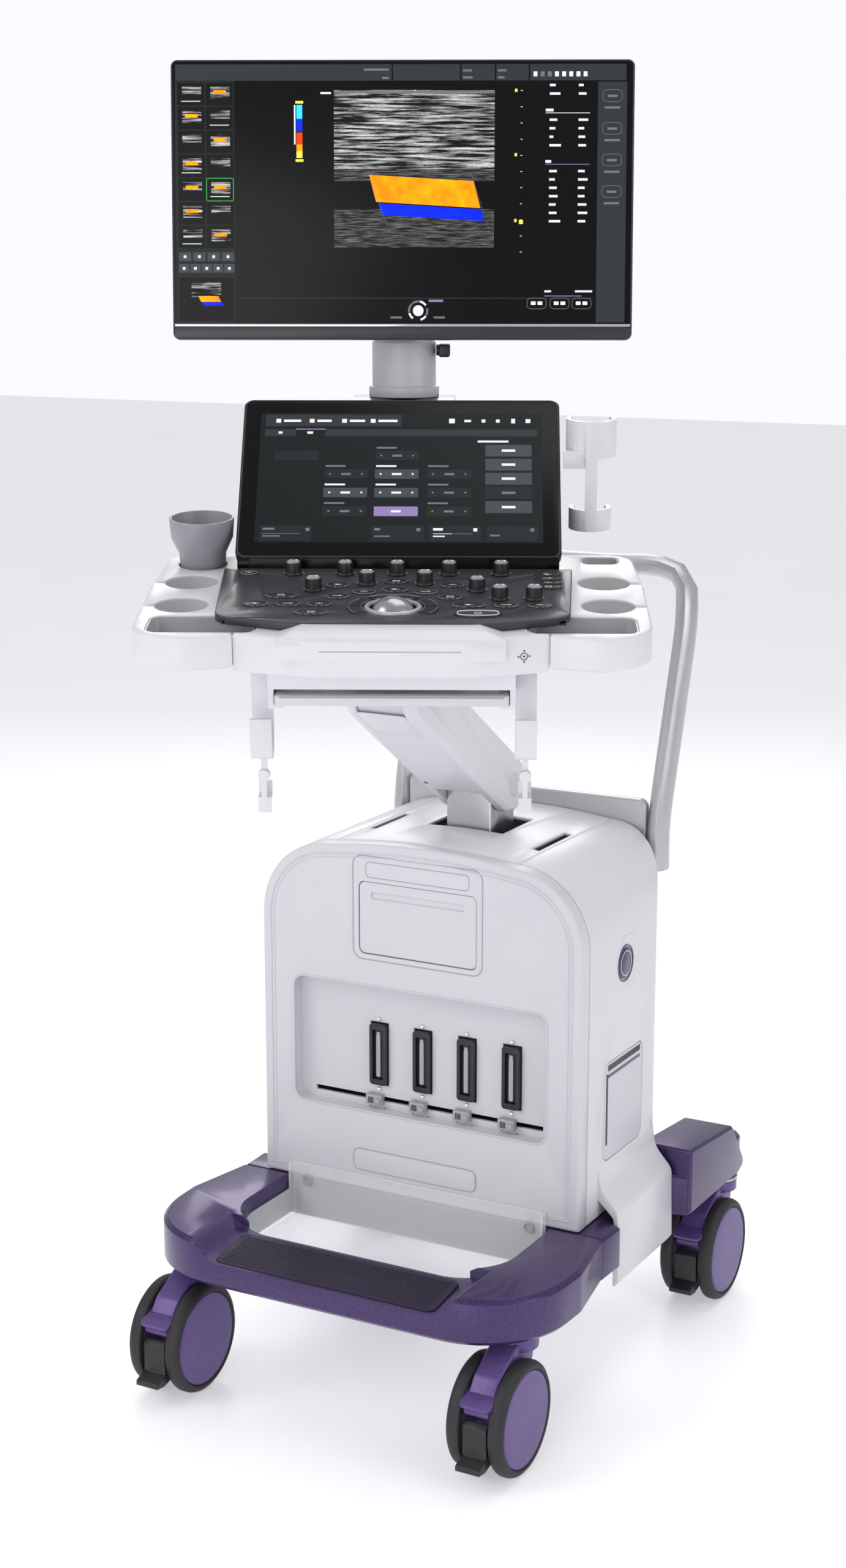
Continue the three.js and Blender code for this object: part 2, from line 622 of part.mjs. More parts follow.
function consoleDeck() {
  const plate = prism(deckOutline(0), 'z', DECK.bottom, DECK.top, 1, 6);
  const pocket = box(-162, 165, -346, -175, DECK.bottom - 1, DECK.top - DECK.skin);
  const ball = rod(BALL.radius + 1, 'z', -60, 0, 0, BALL.y, 24);
  return cut(plate, pocket, ball, ...keyPrisms(0.5, DECK.bottom - 2, DECK.top + 2));
}

function keyMat() {
  const bottom = DECK.bottom + 0.2;
  const mat = box(-161, 164, -345, -176, bottom, bottom + 1.5);
  const ball = rod(BALL.radius + 1.5, 'z', -60, 0, 0, BALL.y, 24);
  return cut(join(mat, ...keyPrisms(0, bottom + 0.5, DECK.top + 1.5)), ball);
}

function consoleShell() {
  const s = SHELL;
  const plan = outline(mirrored([
    [s.halfWidth, s.rear, 40], [s.halfWidth, s.sideFront, 0], [75, s.front, 60],
  ]));
  const slab = prism(plan, 'z', s.bottom, s.top, 2, 4);
  const palmWidth = outline(mirrored([
    [-PALM.footHalf, s.top - 20, 0], [-PALM.footHalf, s.top - 1, 0], [-PALM.half, PALM.top, 0],
  ]));
  const palmSide = outline([
    [DECK.front + 20, PALM.top], [DECK.front - 14, PALM.top - 2, 10],
    [PALM.front, PALM.top - 15, 6], [PALM.front, s.bottom + 4], [DECK.front + 20, s.bottom + 4],
  ]);
  const palm = common(
    prism(palmWidth, 'y', PALM.front - 10, DECK.front + 20),
    prism(palmSide, 'x', -PALM.footHalf, PALM.footHalf),
  );
  const mount = rod(50, 'z', -CONSOLE_LIFT + GAP, s.bottom + 6, 0, 0, 28);
  mount.rotateX(-CONSOLE_TILT * DEG);
  const k = KEYBOARD;
  const rails = [-1, 1].flatMap((side) => {
    const wall = side * (k.halfWidth + 3);
    const lip = side * (k.halfWidth - 3);
    return [
      box(wall - RAIL.wallHalf, wall + RAIL.wallHalf, k.front + 6, RAIL.rear, k.bottom - 4, s.bottom + 10),
      box(lip - RAIL.lipHalf, lip + RAIL.lipHalf, k.front + 6, RAIL.rear, k.bottom - 4, k.bottom - GAP),
    ];
  });
  const browHalf = k.halfWidth + 3 + RAIL.wallHalf;
  const brow = box(-browHalf, browHalf, k.front + 2, -350, k.top + 6, s.bottom + 10);
  const deckSpace = prism(deckOutline(GAP), 'z', s.top, 0, 0, 6);
  const ballSpace = rod(BALL.radius + 2, 'z', -70, -20, 0, BALL.y, 24);
  const dishes = [-1, 1].map((side) => dishTool(side));
  return cut(join(slab, palm, mount, brow, ...rails), deckSpace, ballSpace, ...dishes);
}

function dishTool(side) {
  const [a, b] = [side * (DISH.inner - 26), side * DISH.outer].sort((m, n) => m - n);
  return prism(rectangle(a, b, DISH.front, DISH.rear, 12), 'z', SHELL.top - DISH.depth, 0, 0, 4);
}

function holderWing(side) {
  const w = WING;
  const plan = outline([
    [SHELL.halfWidth + GAP, SHELL.sideFront - 2, 0], [195, w.front, 40], [w.outer - 1, w.front + 14, 48],
    [w.outer, -200, 60], [w.outer - 6, w.rear, 28], [SHELL.halfWidth + GAP, w.rear, 0],
  ].map(([x, y, radius]) => [side * x, y, radius]));
  const slab = prism(plan, 'z', w.bottom, SHELL.top, 2, 4);
  const [from, to] = [side * w.slotX, side * (w.outer + 5)].sort((m, n) => m - n);
  const tools = WING_SLOTS.flatMap((y) => [
    rod(w.slotRadius, 'z', -90, 0, side * w.slotX, y, 22),
    box(from, to, y - w.slit / 2, y + w.slit / 2, -90, 0),
  ]);
  tools.push(dishTool(side));
  if (side > 0) {
    const slot = RIGHT_SLOT;
    const opening = rectangle(slot.inner, slot.outer, slot.front, slot.rear, slot.corner);
    tools.push(prism(opening, 'z', -90, 0, 0, 3));
  } else {
    tools.push(rod(CUP.neckRadius + 1, 'z', -90, 0, CUP.x, CUP.y, 24));
  }
  return cut(slab, ...tools);
}

function gelCup() {
  const c = CUP;
  const outside = [
    [c.baseRadius, c.base + 2], [c.neckRadius, -22], [c.rimRadius - 1.5, -6], [c.rimRadius, c.rim],
  ];
  const inside = outside.slice().reverse().map(([radius, height]) => [radius - c.wall, height]);
  inside[inside.length - 1][1] = c.base + 6;
  const geometry = turned(
    [[0, c.base], [c.baseRadius - 2, c.base], ...outside, ...inside, [0, c.base + 6]], 28,
  );
  geometry.translate(c.x, c.y, 0);
  return geometry;
}

function touchHousing() {
  const t = TOUCH;
  const face = rectangle(-t.width / 2, t.width / 2, -t.height / 2, t.height / 2, 9);
  const glass = prism(face, 'z', -t.thickness, 0, 1.5, 3);
  glass.rotateX((90 - t.tilt) * DEG);
  glass.translate(0, t.y, t.z);
  const lower = [DECK.rear + GAP, DECK.top - 4];
  const wedge = outline([
    lower, [lower[0], -17], [-150, -19], [-12, 100], [0, 104], [0, 60], [-20, SHELL.top + GAP],
    [lower[0], SHELL.top + GAP],
  ]);
  const body = prism(wedge, 'x', -152, 152, 2, 3);
  const column = box(-55, 55, -10, 112, SHELL.top + GAP, 108);
  const levelTop = box(-80, 80, 4, 180, NECK.z - CONSOLE_LIFT - GAP, 200);
  levelTop.rotateX(-CONSOLE_TILT * DEG);
  const nose = rod(9, 'x', -163, 163, DECK.rear + 10, -24, 12);
  const deckSpace = prism(deckOutline(GAP), 'z', DECK.bottom - 1, DECK.top + GAP, 0, 6);
  return cut(join(glass, body, column, nose), levelTop, deckSpace);
}

function tallProbeHolder() {
  const ring = (outerR, innerR, y, from, to) => {
    const shape = new THREE.Shape();
    shape.absarc(0, 0, outerR, 0.85 * Math.PI, 2.15 * Math.PI, false);
    shape.absarc(0, 0, innerR, 2.15 * Math.PI, 0.85 * Math.PI, true);
    shape.closePath();
    const geometry = prism(shape, 'z', from, to, 0, 14);
    geometry.translate(197, y, 0);
    return geometry;
  };
  const bar = box(191, 203, -93, -87, -4, 108);
  const bracket = box(168, 195, -91, -85, 60, 78);
  return join(ring(26, 21, -67, 70, 108), ring(22, 17, -71, -6, 16), bar, bracket);
}

function hookBracket(side) {
  const h = HOOK;
  const root = SHELL.bottom - GAP;
  const profile = outline([
    [h.y - 2, root], [h.y - 2, -150, 4], [h.y - 8, -170, 8], [h.y - 20, -172, 8], [h.y - 26, -134, 0],
    [h.y - 30, -134, 0], [h.y - 27, -178, 12], [h.y - 4, -178, 8], [h.y + 2, -160, 4], [h.y + 2, root],
  ]);
  const paddle = prism(profile, 'x', side * h.x - h.halfWidth, side * h.x + h.halfWidth, 0, 4);
  const strap = box(side * h.x - 3, side * h.x + 3, h.y - 2, h.y + 1.5, h.discHeight, -165);
  const disc = rod(6, 'y', h.y - 2, h.y + 1.5, side * h.x, h.discHeight, 14);
  return join(paddle, strap, disc);
}

function cableHook() {
  const disc = rod(6, 'y', -6, -2.5, 0, 0, 14);
  const stem = box(-2.5, 2.5, -6, -2.5, -24, 0);
  const seat = box(-6.5, 6.5, -6, 12, -26, -22);
  const lip = box(-6.5, 6.5, -6, -2.5, -38, -22);
  const tongue = box(-6.5, 6.5, 8.5, 12, -26, -10);
  return join(disc, stem, seat, lip, tongue);
}

function keyboardTray() {
  const k = KEYBOARD;
  const half = k.halfWidth - GAP;
  const rear = k.front + k.depth;
  const slab = prism(rectangle(-half, half, k.front, rear, 4), 'z', k.bottom, k.top, 1, 3);
  const well = box(-half + 8, half - 8, k.front + 10, rear - 12, k.top - 4, k.top + 1);
  return cut(slab, well);
}

function knob() {
  const { radius, height } = KNOB;
  return turned([
    [0, 0], [radius, 0], [radius - 0.6, height - 2], [radius - 1.4, height], [radius - 2.6, height],
    [0, height - 0.6],
  ], 12);
}

function addConsole(head) {
  const swivel = pivot(head, 0, HEAD.axisBehindPivot, HEAD.top);
  swivel.rotation.z = CONSOLE_YAW * DEG;
  const desk = pivot(swivel, 0, 0, CONSOLE_LIFT);
  desk.rotation.x = CONSOLE_TILT * DEG;
  piece(desk, 'console_tray', consoleShell(), WHITE);
  piece(desk, 'holder_wing_left', holderWing(-1), WHITE);
  piece(desk, 'holder_wing_right', holderWing(1), WHITE);
  piece(desk, 'console_deck', consoleDeck(), CHARCOAL);
  piece(desk, 'key_mat', keyMat(), BLACK);
  piece(desk, 'touch_panel', touchHousing(), BLACK_GLASS);
  piece(desk, 'gel_cup', gelCup(), GREY);
  piece(desk, 'tall_probe_holder', tallProbeHolder(), WHITE);
  piece(desk, 'hook_bracket_left', hookBracket(-1), WHITE);
  piece(desk, 'hook_bracket_right', hookBracket(1), WHITE);
  for (const [side, sign] of [['left', -1], ['right', 1]]) {
    const swing = pivot(desk, sign * HOOK.x, HOOK.y, HOOK.discHeight);
    piece(swing, `cable_hook_${side}`, cableHook(), WHITE);
  }
  piece(desk, 'keyboard_tray', keyboardTray(), GREY);
  const ball = pivot(desk, 0, BALL.y, BALL.centre);
  piece(ball, 'trackball', new THREE.SphereGeometry(BALL.radius, 20, 12), SILVER);
  KNOB_PLACES.forEach(([x, y], index) => {
    const shaft = pivot(desk, x, y, DECK.top + GAP);
    piece(shaft, `knob_${index + 1}`, knob(), BLACK);
  });
  return swivel;
}

// ---- monitor -----------------------------------------------------------------------------------
function monitorNeck() {
  const n = NECK;
  const post = turned([
    [0, 0], [n.collar, 0], [n.collar, n.collarTop], [n.radius, n.collarTop + 1], [n.radius, n.top - 4],
    [n.radius - 4, n.top], [0, n.top],
  ], 30);
  const spine = box(-18, 18, -6, 16, n.top - 6, n.hinge);
  const barrel = rod(12, 'x', -40, 40, 0, n.hinge, 16);
  return join(post, spine, barrel);
}

function monitorHousing() {
  const m = MONITOR;
  const low = m.centre - m.height / 2;
  const high = m.centre + m.height / 2;
  const panel = prism(
    rectangle(-m.width / 2, m.width / 2, low, high, m.corner), 'y', m.face, m.face + m.thickness, 1.5, 3,
  );
  const bulge = prism(rectangle(-160, 160, low + 46, high - 40, 24), 'y', m.face + 8, m.face + 44, 8, 3);
  const ears = [-1, 1].map((side) => {
    const ear = new THREE.Shape();
    ear.absarc(0, 0, 13, -Math.PI / 2, Math.PI / 2, false);
    ear.lineTo(m.face + 36, 20);
    ear.lineTo(m.face + 36, -20);
    ear.closePath();
    const from = side > 0 ? 40 + GAP : -52 - GAP;
    return prism(ear, 'x', from, from + 12, 0, 6);
  });
  return join(panel, bulge, ...ears);
}

function lockLever() {
  const hub = rod(6, 'x', 0, 6, 0, 0, 12);
  const tab = prism(rectangle(-20, 4, -7, 7, 3), 'x', 3, 15, 1.5, 3);
  return join(hub, tab);
}

function addMonitor(swivel) {
  const neck = pivot(swivel, 0, NECK.y, NECK.z);
  piece(neck, 'monitor_neck', monitorNeck(), GREY);
  const lever = pivot(neck, NECK.radius + GAP, -10, NECK.top - 12);
  piece(lever, 'monitor_lock_lever', lockLever(), CHARCOAL);
  const hinge = pivot(neck, 0, 0, NECK.hinge);
  hinge.rotation.x = -MONITOR.tilt * DEG;
  piece(hinge, 'monitor', monitorHousing(), BLACK_GLASS);
}

// ---- assembly ----------------------------------------------------------------------------------
function addChassis(machine) {
  const shell = cut(shellBlock(0), shellBlock(WALL));
  piece(machine, 'base_frame', baseFrame(), PURPLE);
  piece(machine, 'front_bumper', frontBumper(), PURPLE);
  piece(machine, 'clear_tray', clearTray(), CLEAR);
  piece(machine, 'front_cover', frontCover(), GREY);
  piece(machine, 'option_cover', optionCover(), GREY);
  piece(machine, 'probe_connector_board', connectorBoard(), BOARD);
  piece(machine, 'side_cover_left', sideCover(shell, -1), WHITE);
  piece(machine, 'side_cover_right', sideCover(shell, 1), WHITE);
  piece(machine, 'filter_door', filterDoor(), GREY);
  piece(machine, 'top_cover', topCover(), WHITE);
  piece(machine, 'rear_cover', rearCover(), GREY);
  piece(machine, 'electronics_cage', electronicsCage(), STEEL);
  piece(machine, 'rear_handle', rearHandle(), SILVER);
  piece(machine, 'arm_base', armBase(), STEEL);
  portCentres().forEach((x, index) => {
    const back = BODY.front + FACE.depth - RECESS.wall;
    const slide = pivot(machine, x + LOCK.offset, back, LOCK.centreHeight);
    piece(slide, `port_lock_${index + 1}`, portLock(), GREY);
  });
}

function addArm(machine) {
  const arm = pivot(machine, 0, LIFT.pivotY, LIFT.pivotZ);
  arm.rotation.x = -LIFT.angle * DEG;
  piece(arm, 'lift_arm', liftArm(), WHITE);
  const head = pivot(arm, 0, -LIFT.length, 0);
  head.rotation.x = LIFT.angle * DEG;
  piece(head, 'arm_head', armHead(), GREY);
  return head;
}

const machine = new THREE.Group();
addChassis(machine);
addCasters(machine);
addMonitor(addConsole(addArm(machine)));

// The origin is on the floor, under the middle of the whole machine's box.
machine.updateMatrixWorld(true);
const extent = new THREE.Box3().setFromObject(machine, true);
const centre = extent.getCenter(new THREE.Vector3());
machine.position.set(-centre.x, -centre.y, -extent.min.z);

export default machine;
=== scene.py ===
"""Cart-based ultrasound machine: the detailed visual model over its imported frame."""

import json
import logging
import math
from dataclasses import dataclass, field
from enum import Enum
from typing import Callable, Iterable, Optional, Sequence, Union

import bpy
from mathutils import Matrix, Vector


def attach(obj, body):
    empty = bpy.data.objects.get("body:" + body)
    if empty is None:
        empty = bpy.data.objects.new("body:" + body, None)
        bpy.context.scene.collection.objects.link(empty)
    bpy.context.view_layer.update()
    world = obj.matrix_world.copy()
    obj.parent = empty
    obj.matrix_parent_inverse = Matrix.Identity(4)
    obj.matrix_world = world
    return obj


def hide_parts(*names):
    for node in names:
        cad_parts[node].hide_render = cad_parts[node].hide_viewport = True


LOG = logging.getLogger("ultrasound_cart")
MM = 0.001

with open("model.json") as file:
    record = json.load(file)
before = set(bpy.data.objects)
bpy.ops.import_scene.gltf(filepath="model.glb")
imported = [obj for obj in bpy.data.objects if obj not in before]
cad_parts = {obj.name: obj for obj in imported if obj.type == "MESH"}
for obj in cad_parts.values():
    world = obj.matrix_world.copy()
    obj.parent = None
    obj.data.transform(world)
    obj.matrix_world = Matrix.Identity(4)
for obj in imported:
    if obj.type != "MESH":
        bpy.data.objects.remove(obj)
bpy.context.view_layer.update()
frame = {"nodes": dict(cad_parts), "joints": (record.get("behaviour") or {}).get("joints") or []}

Point = tuple[float, float, float]
Rect = tuple[float, float, float, float]
Tree = bpy.types.NodeTree
Node = bpy.types.Node
Wire = bpy.types.NodeSocket
SIDES = ((-1, "left"), (1, "right"))
SHARP = 38.0
ROUNDED = 42.0


def move(x: float, y: float, z: float) -> Matrix:
    """A move along the axes.

    Args:
        x: how far along x.
        y: how far along y.
        z: how far along z.

    Returns:
        The matrix of that move.
    """
    return Matrix.Translation((x, y, z))


def spin(axis: str, degrees: float) -> Matrix:
    """A turn about one axis.

    Args:
        axis: X, Y or Z.
        degrees: how far it turns.

    Returns:
        The matrix of that turn.
    """
    return Matrix.Rotation(math.radians(degrees), 4, axis)


def around(radius: float, degrees: float) -> tuple[float, float]:
    """A point on a circle about the origin.

    Args:
        radius: radius of the circle.
        degrees: angle from the x axis.

    Returns:
        The point's x and y.
    """
    turn = math.radians(degrees)
    return radius * math.cos(turn), radius * math.sin(turn)


# ---- places taken from the frame ---------------------------------------------------------------


def joint(name: str) -> dict:
    """One joint of the frame.

    Args:
        name: the joint's name.

    Returns:
        The joint as the record states it.
    """
    return next(item for item in frame["joints"] if item["name"] == name)


def at_joint(name: str) -> Matrix:
    """An upright frame in millimetres with its origin at a joint.

    Args:
        name: the joint's name.

    Returns:
        The matrix from local millimetres to the row frame.
    """
    return Matrix.Translation(Vector(joint(name)["pos_m"])) @ Matrix.Scale(MM, 4)


def axes(origin: Vector, x: Vector, y: Vector) -> Matrix:
    """A local frame that takes millimetres.

    Args:
        origin: where the local frame starts, in metres.
        x: direction of its x axis.
        y: direction of its y axis.

    Returns:
        The matrix from local millimetres to the row frame.
    """
    z = x.cross(y)
    turn = Matrix((x, y, z)).transposed().to_4x4()
    return Matrix.Translation(origin) @ turn @ Matrix.Scale(MM, 4)


@dataclass
class Places:
    """Local frames of the machine, each in millimetres."""

    desk_rise: float = 0.102
    arm_foot: Point = (0.0, 0.005, 0.662)
    monitor_lean: float = 5.4
    touch_lean: float = 41.0
    touch_centre: Point = (0.0, -83.6, 49.1)
    floor: Matrix = field(init=False)
    head: Matrix = field(init=False)
    desk: Matrix = field(init=False)
    screen: Matrix = field(init=False)
    touch: Matrix = field(init=False)

    def __post_init__(self) -> None:
        """Works the local frames out from the joints."""
        foot = Vector(joint("arm_lift")["pos_m"]) - Vector(self.arm_foot)
        self.floor = Matrix.Translation(foot) @ Matrix.Scale(MM, 4)
        swivel = Vector(joint("console_swivel")["pos_m"])
        side = -Vector(joint("monitor_tilt")["axis"]).normalized()
        up = Vector((0.0, 0.0, 1.0))
        self.head = axes(swivel, side, up.cross(side))
        inward = -Vector(joint("keyboard_slide")["axis"]).normalized()
        self.desk = axes(swivel + up * self.desk_rise, side, inward)
        hinge = Vector(joint("monitor_tilt")["pos_m"])
        lean = spin("X", -self.monitor_lean)
        self.screen = axes(hinge, side, up.cross(side)) @ lean
        slope = spin("X", self.touch_lean)
        self.touch = self.desk @ Matrix.Translation(self.touch_centre) @ slope

    def caster(self, place: str) -> Matrix:
        """The frame under one caster's stem.

        Args:
            place: which caster, such as front_left.

        Returns:
            A frame with its origin on the floor below the stem.
        """
        stem = Vector(joint(f"caster_swivel_{place}")["pos_m"])
        stem.z = 0.0
        return Matrix.Translation(stem) @ Matrix.Scale(MM, 4)


# ---- shared shader groups ----------------------------------------------------------------------


class Socket(Enum):
    """Kinds of node group socket."""

    NUMBER = "NodeSocketFloat"
    COLOUR = "NodeSocketColor"
    VECTOR = "NodeSocketVector"


class ShaderGroup:
    """A node group that is built once and placed in many materials."""

    made: dict[str, bpy.types.ShaderNodeTree] = {}

    @staticmethod
    def begin(name: str, inputs: Sequence[tuple[str, Socket]],
              outputs: Sequence[tuple[str, Socket]]) -> tuple[Tree, Node, Node]:
        """Starts a node group.

        Args:
            name: the group's name.
            inputs: names and kinds of its inputs.
            outputs: names and kinds of its outputs.

        Returns:
            The tree, its input node and its output node.
        """
        tree = bpy.data.node_groups.new(name, "ShaderNodeTree")
        for title, kind in inputs:
            tree.interface.new_socket(title, in_out="INPUT", socket_type=kind.value)
        for title, kind in outputs:
            tree.interface.new_socket(title, in_out="OUTPUT", socket_type=kind.value)
        ShaderGroup.made[name] = tree
        return tree, tree.nodes.new("NodeGroupInput"), tree.nodes.new("NodeGroupOutput")

    @staticmethod
    def noise(tree: Tree, coords: Wire, scale: Union[Wire, float], detail: float,
              roughness: float = 0.5) -> Wire:
        """A noise texture in a tree.

        Args:
            tree: the node tree.
            coords: the socket of the coordinates.
            scale: a socket or a number for the noise's scale.
            detail: octaves of noise.
            roughness: weight of the finer octaves.

        Returns:
            The node's value output.
        """
        node = tree.nodes.new("ShaderNodeTexNoise")
        node.inputs["Detail"].default_value = detail
        node.inputs["Roughness"].default_value = roughness
        tree.links.new(coords, node.inputs["Vector"])
        if isinstance(scale, (int, float)):
            node.inputs["Scale"].default_value = scale
        else:
            tree.links.new(scale, node.inputs["Scale"])
        return node.outputs["Fac"]

    @staticmethod
    def spread(tree: Tree, value: Wire, low: Union[Wire, float], high: Union[Wire, float]) -> Wire:
        """Maps a 0 to 1 value between two others.

        Args:
            tree: the node tree.
            value: the socket that is mapped.
            low: a socket or number for 0.25.
            high: a socket or number for 0.75.

        Returns:
            The mapped value's socket.
        """
        node = tree.nodes.new("ShaderNodeMapRange")
        node.inputs["From Min"].default_value = 0.25
        node.inputs["From Max"].default_value = 0.75
        tree.links.new(value, node.inputs["Value"])
        for title, end in (("To Min", low), ("To Max", high)):
            if isinstance(end, (int, float)):
                node.inputs[title].default_value = end
            else:
                tree.links.new(end, node.inputs[title])
        return node.outputs["Result"]

    @staticmethod
    def mix(tree: Tree, factor: Wire, first: Union[Wire, Point], second: Union[Wire, Point]) -> Wire:
        """Mixes two colours.

        Args:
            tree: the node tree.
            factor: the socket that mixes.
            first: colour or colour socket at 0.
            second: colour or colour socket at 1.

        Returns:
            The mixed colour's socket.
        """
        node = tree.nodes.new("ShaderNodeMix")
        node.data_type = "RGBA"
        tree.links.new(factor, node.inputs["Factor"])
        for slot, colour in ((6, first), (7, second)):
            if isinstance(colour, (tuple, list)):
                node.inputs[slot].default_value = (*colour, 1.0)
            else:
                tree.links.new(colour, node.inputs[slot])
        return node.outputs[2]

    @classmethod
    def moulded_grain(cls) -> bpy.types.ShaderNodeTree:
        """Fine moulding grain with broad, faint clouding.

        Returns:
            The node group.
        """
        if "moulded_grain" in cls.made:
            return cls.made["moulded_grain"]
        inputs = [("Coords", Socket.VECTOR), ("Colour", Socket.COLOUR), ("Cloud Colour", Socket.COLOUR),
                  ("Grain Scale", Socket.NUMBER), ("Cloud Scale", Socket.NUMBER),
                  ("Rough Low", Socket.NUMBER), ("Rough High", Socket.NUMBER)]
        outputs = [("Colour", Socket.COLOUR), ("Roughness", Socket.NUMBER), ("Height", Socket.NUMBER)]
        tree, start, end = cls.begin("moulded_grain", inputs, outputs)
        coords = start.outputs["Coords"]
        cloud = cls.noise(tree, coords, start.outputs["Cloud Scale"], 3.0)
        grain = cls.noise(tree, coords, start.outputs["Grain Scale"], 2.0, 0.6)
        colour = cls.mix(tree, cloud, start.outputs["Colour"], start.outputs["Cloud Colour"])
        smear = cls.noise(tree, coords, 14.0, 5.0, 0.65)
        rough = cls.spread(tree, smear, start.outputs["Rough Low"], start.outputs["Rough High"])
        tree.links.new(colour, end.inputs["Colour"])
        tree.links.new(rough, end.inputs["Roughness"])
        tree.links.new(grain, end.inputs["Height"])
        return tree

    @classmethod
    def metal_flake(cls) -> bpy.types.ShaderNodeTree:
        """Metallic paint: tiny flakes of two tones over a faint orange peel.

        Returns:
            The node group.
        """
        if "metal_flake" in cls.made:
            return cls.made["metal_flake"]
        inputs = [("Coords", Socket.VECTOR), ("Colour", Socket.COLOUR), ("Flake Colour", Socket.COLOUR),
                  ("Flake Scale", Socket.NUMBER), ("Rough Low", Socket.NUMBER), ("Rough High", Socket.NUMBER)]
        outputs = [("Colour", Socket.COLOUR), ("Roughness", Socket.NUMBER), ("Height", Socket.NUMBER)]
        tree, start, end = cls.begin("metal_flake", inputs, outputs)
        coords = start.outputs["Coords"]
        cells = tree.nodes.new("ShaderNodeTexVoronoi")
        tree.links.new(coords, cells.inputs["Vector"])
        tree.links.new(start.outputs["Flake Scale"], cells.inputs["Scale"])
        split = tree.nodes.new("ShaderNodeSeparateColor")
        tree.links.new(cells.outputs["Color"], split.inputs["Color"])
        glint = tree.nodes.new("ShaderNodeMapRange")
        glint.inputs["From Min"].default_value = 0.35
        glint.inputs["From Max"].default_value = 1.0
        tree.links.new(split.outputs["Red"], glint.inputs["Value"])
        colour = cls.mix(tree, glint.outputs["Result"], start.outputs["Colour"],
                         start.outputs["Flake Colour"])
        smear = cls.noise(tree, coords, 11.0, 4.0, 0.6)
        rough = cls.spread(tree, smear, start.outputs["Rough Low"], start.outputs["Rough High"])
        peel = cls.noise(tree, coords, 900.0, 1.0)
        tree.links.new(colour, end.inputs["Colour"])
        tree.links.new(rough, end.inputs["Roughness"])
        tree.links.new(peel, end.inputs["Height"])
        return tree


# ---- finishes ----------------------------------------------------------------------------------


@dataclass(frozen=True)
class Finish:
    """A finish: what every material of the machine shares."""

    name: str
    slot: str
    colour: Point
    second: Point
    low: float
    high: float
    metallic: float = 0.0
    coat: float = 0.0
    grain: float = 1400.0
    cloud: float = 9.0
    bump: float = 0.05
    specular: float = 0.5

    def material(self) -> bpy.types.Material:
        """The material, made on first use.

        Returns:
            The Blender material.
        """
        found = bpy.data.materials.get(self.name)
        if found:
            return found
        material = bpy.data.materials.new(self.name)
        material.use_nodes = True
        material.diffuse_color = (*self.colour, 1.0)
        self.dress(material.node_tree, material.node_tree.nodes["Principled BSDF"])
        return material

    def coords(self, tree: Tree) -> Wire:
        """Object coordinates.

        Args:
            tree: the material's tree.

        Returns:
            The coordinates' socket.
        """
        return tree.nodes.new("ShaderNodeTexCoord").outputs["Object"]

    def place(self, tree: Tree, group: Tree) -> Node:
        """Places a shared group with this finish's own values.

        Args:
            tree: the material's tree.
            group: the shared node group.

        Returns:
            The group's node.
        """
        node = tree.nodes.new("ShaderNodeGroup")
        node.node_tree = group
        values = {"Colour": (*self.colour, 1.0), "Cloud Colour": (*self.second, 1.0),
                  "Flake Colour": (*self.second, 1.0), "Grain Scale": self.grain, "Flake Scale": self.grain,
                  "Cloud Scale": self.cloud, "Rough Low": self.low, "Rough High": self.high}
        for title, value in values.items():
            if title in node.inputs:
                node.inputs[title].default_value = value
        tree.links.new(self.coords(tree), node.inputs["Coords"])
        return node

    def relief(self, tree: Tree, shader: Node, height: Wire, distance: float = 0.0004) -> None:
        """Joins a height to the shader's normal.

        Args:
            tree: the material's tree.
            shader: the Principled node.
            height: the socket of the height.
            distance: depth of the relief in metres.
        """
        node = tree.nodes.new("ShaderNodeBump")
        node.inputs["Strength"].default_value = self.bump
        node.inputs["Distance"].default_value = distance
        tree.links.new(height, node.inputs["Height"])
        tree.links.new(node.outputs["Normal"], shader.inputs["Normal"])

    def dress(self, tree: Tree, shader: Node) -> None:
        """Moulded plastic: fine grain, faint clouding and smears.

        Args:
            tree: the material's tree.
            shader: the Principled node.
        """
        node = self.place(tree, ShaderGroup.moulded_grain())
        shader.inputs["Metallic"].default_value = self.metallic
        shader.inputs["Coat Weight"].default_value = self.coat
        shader.inputs["Coat Roughness"].default_value = 0.1
        shader.inputs["Specular IOR Level"].default_value = self.specular
        tree.links.new(node.outputs["Colour"], shader.inputs["Base Color"])
        tree.links.new(node.outputs["Roughness"], shader.inputs["Roughness"])
        self.relief(tree, shader, node.outputs["Height"])


@dataclass(frozen=True)
class FlakePaint(Finish):
    """Metallic paint or metallic moulded plastic."""

    def dress(self, tree: Tree, shader: Node) -> None:
        """Two tones of flake under a thin coat.

        Args:
            tree: the material's tree.
            shader: the Principled node.
        """
        node = self.place(tree, ShaderGroup.metal_flake())
        shader.inputs["Metallic"].default_value = self.metallic
        shader.inputs["Coat Weight"].default_value = self.coat
        shader.inputs["Coat Roughness"].default_value = 0.12
        tree.links.new(node.outputs["Colour"], shader.inputs["Base Color"])
        tree.links.new(node.outputs["Roughness"], shader.inputs["Roughness"])
        self.relief(tree, shader, node.outputs["Height"], 0.0002)


@dataclass(frozen=True)
class ClearMoulding(Finish):
    """Clear acrylic with faint haze."""

    def dress(self, tree: Tree, shader: Node) -> None:
        """Clear, slightly hazed plastic.

        Args:
            tree: the material's tree.
            shader: the Principled node.
        """
        node = self.place(tree, ShaderGroup.moulded_grain())
        shader.inputs["Transmission Weight"].default_value = 0.92
        shader.inputs["IOR"].default_value = 1.2
        tree.links.new(node.outputs["Colour"], shader.inputs["Base Color"])
        tree.links.new(node.outputs["Roughness"], shader.inputs["Roughness"])


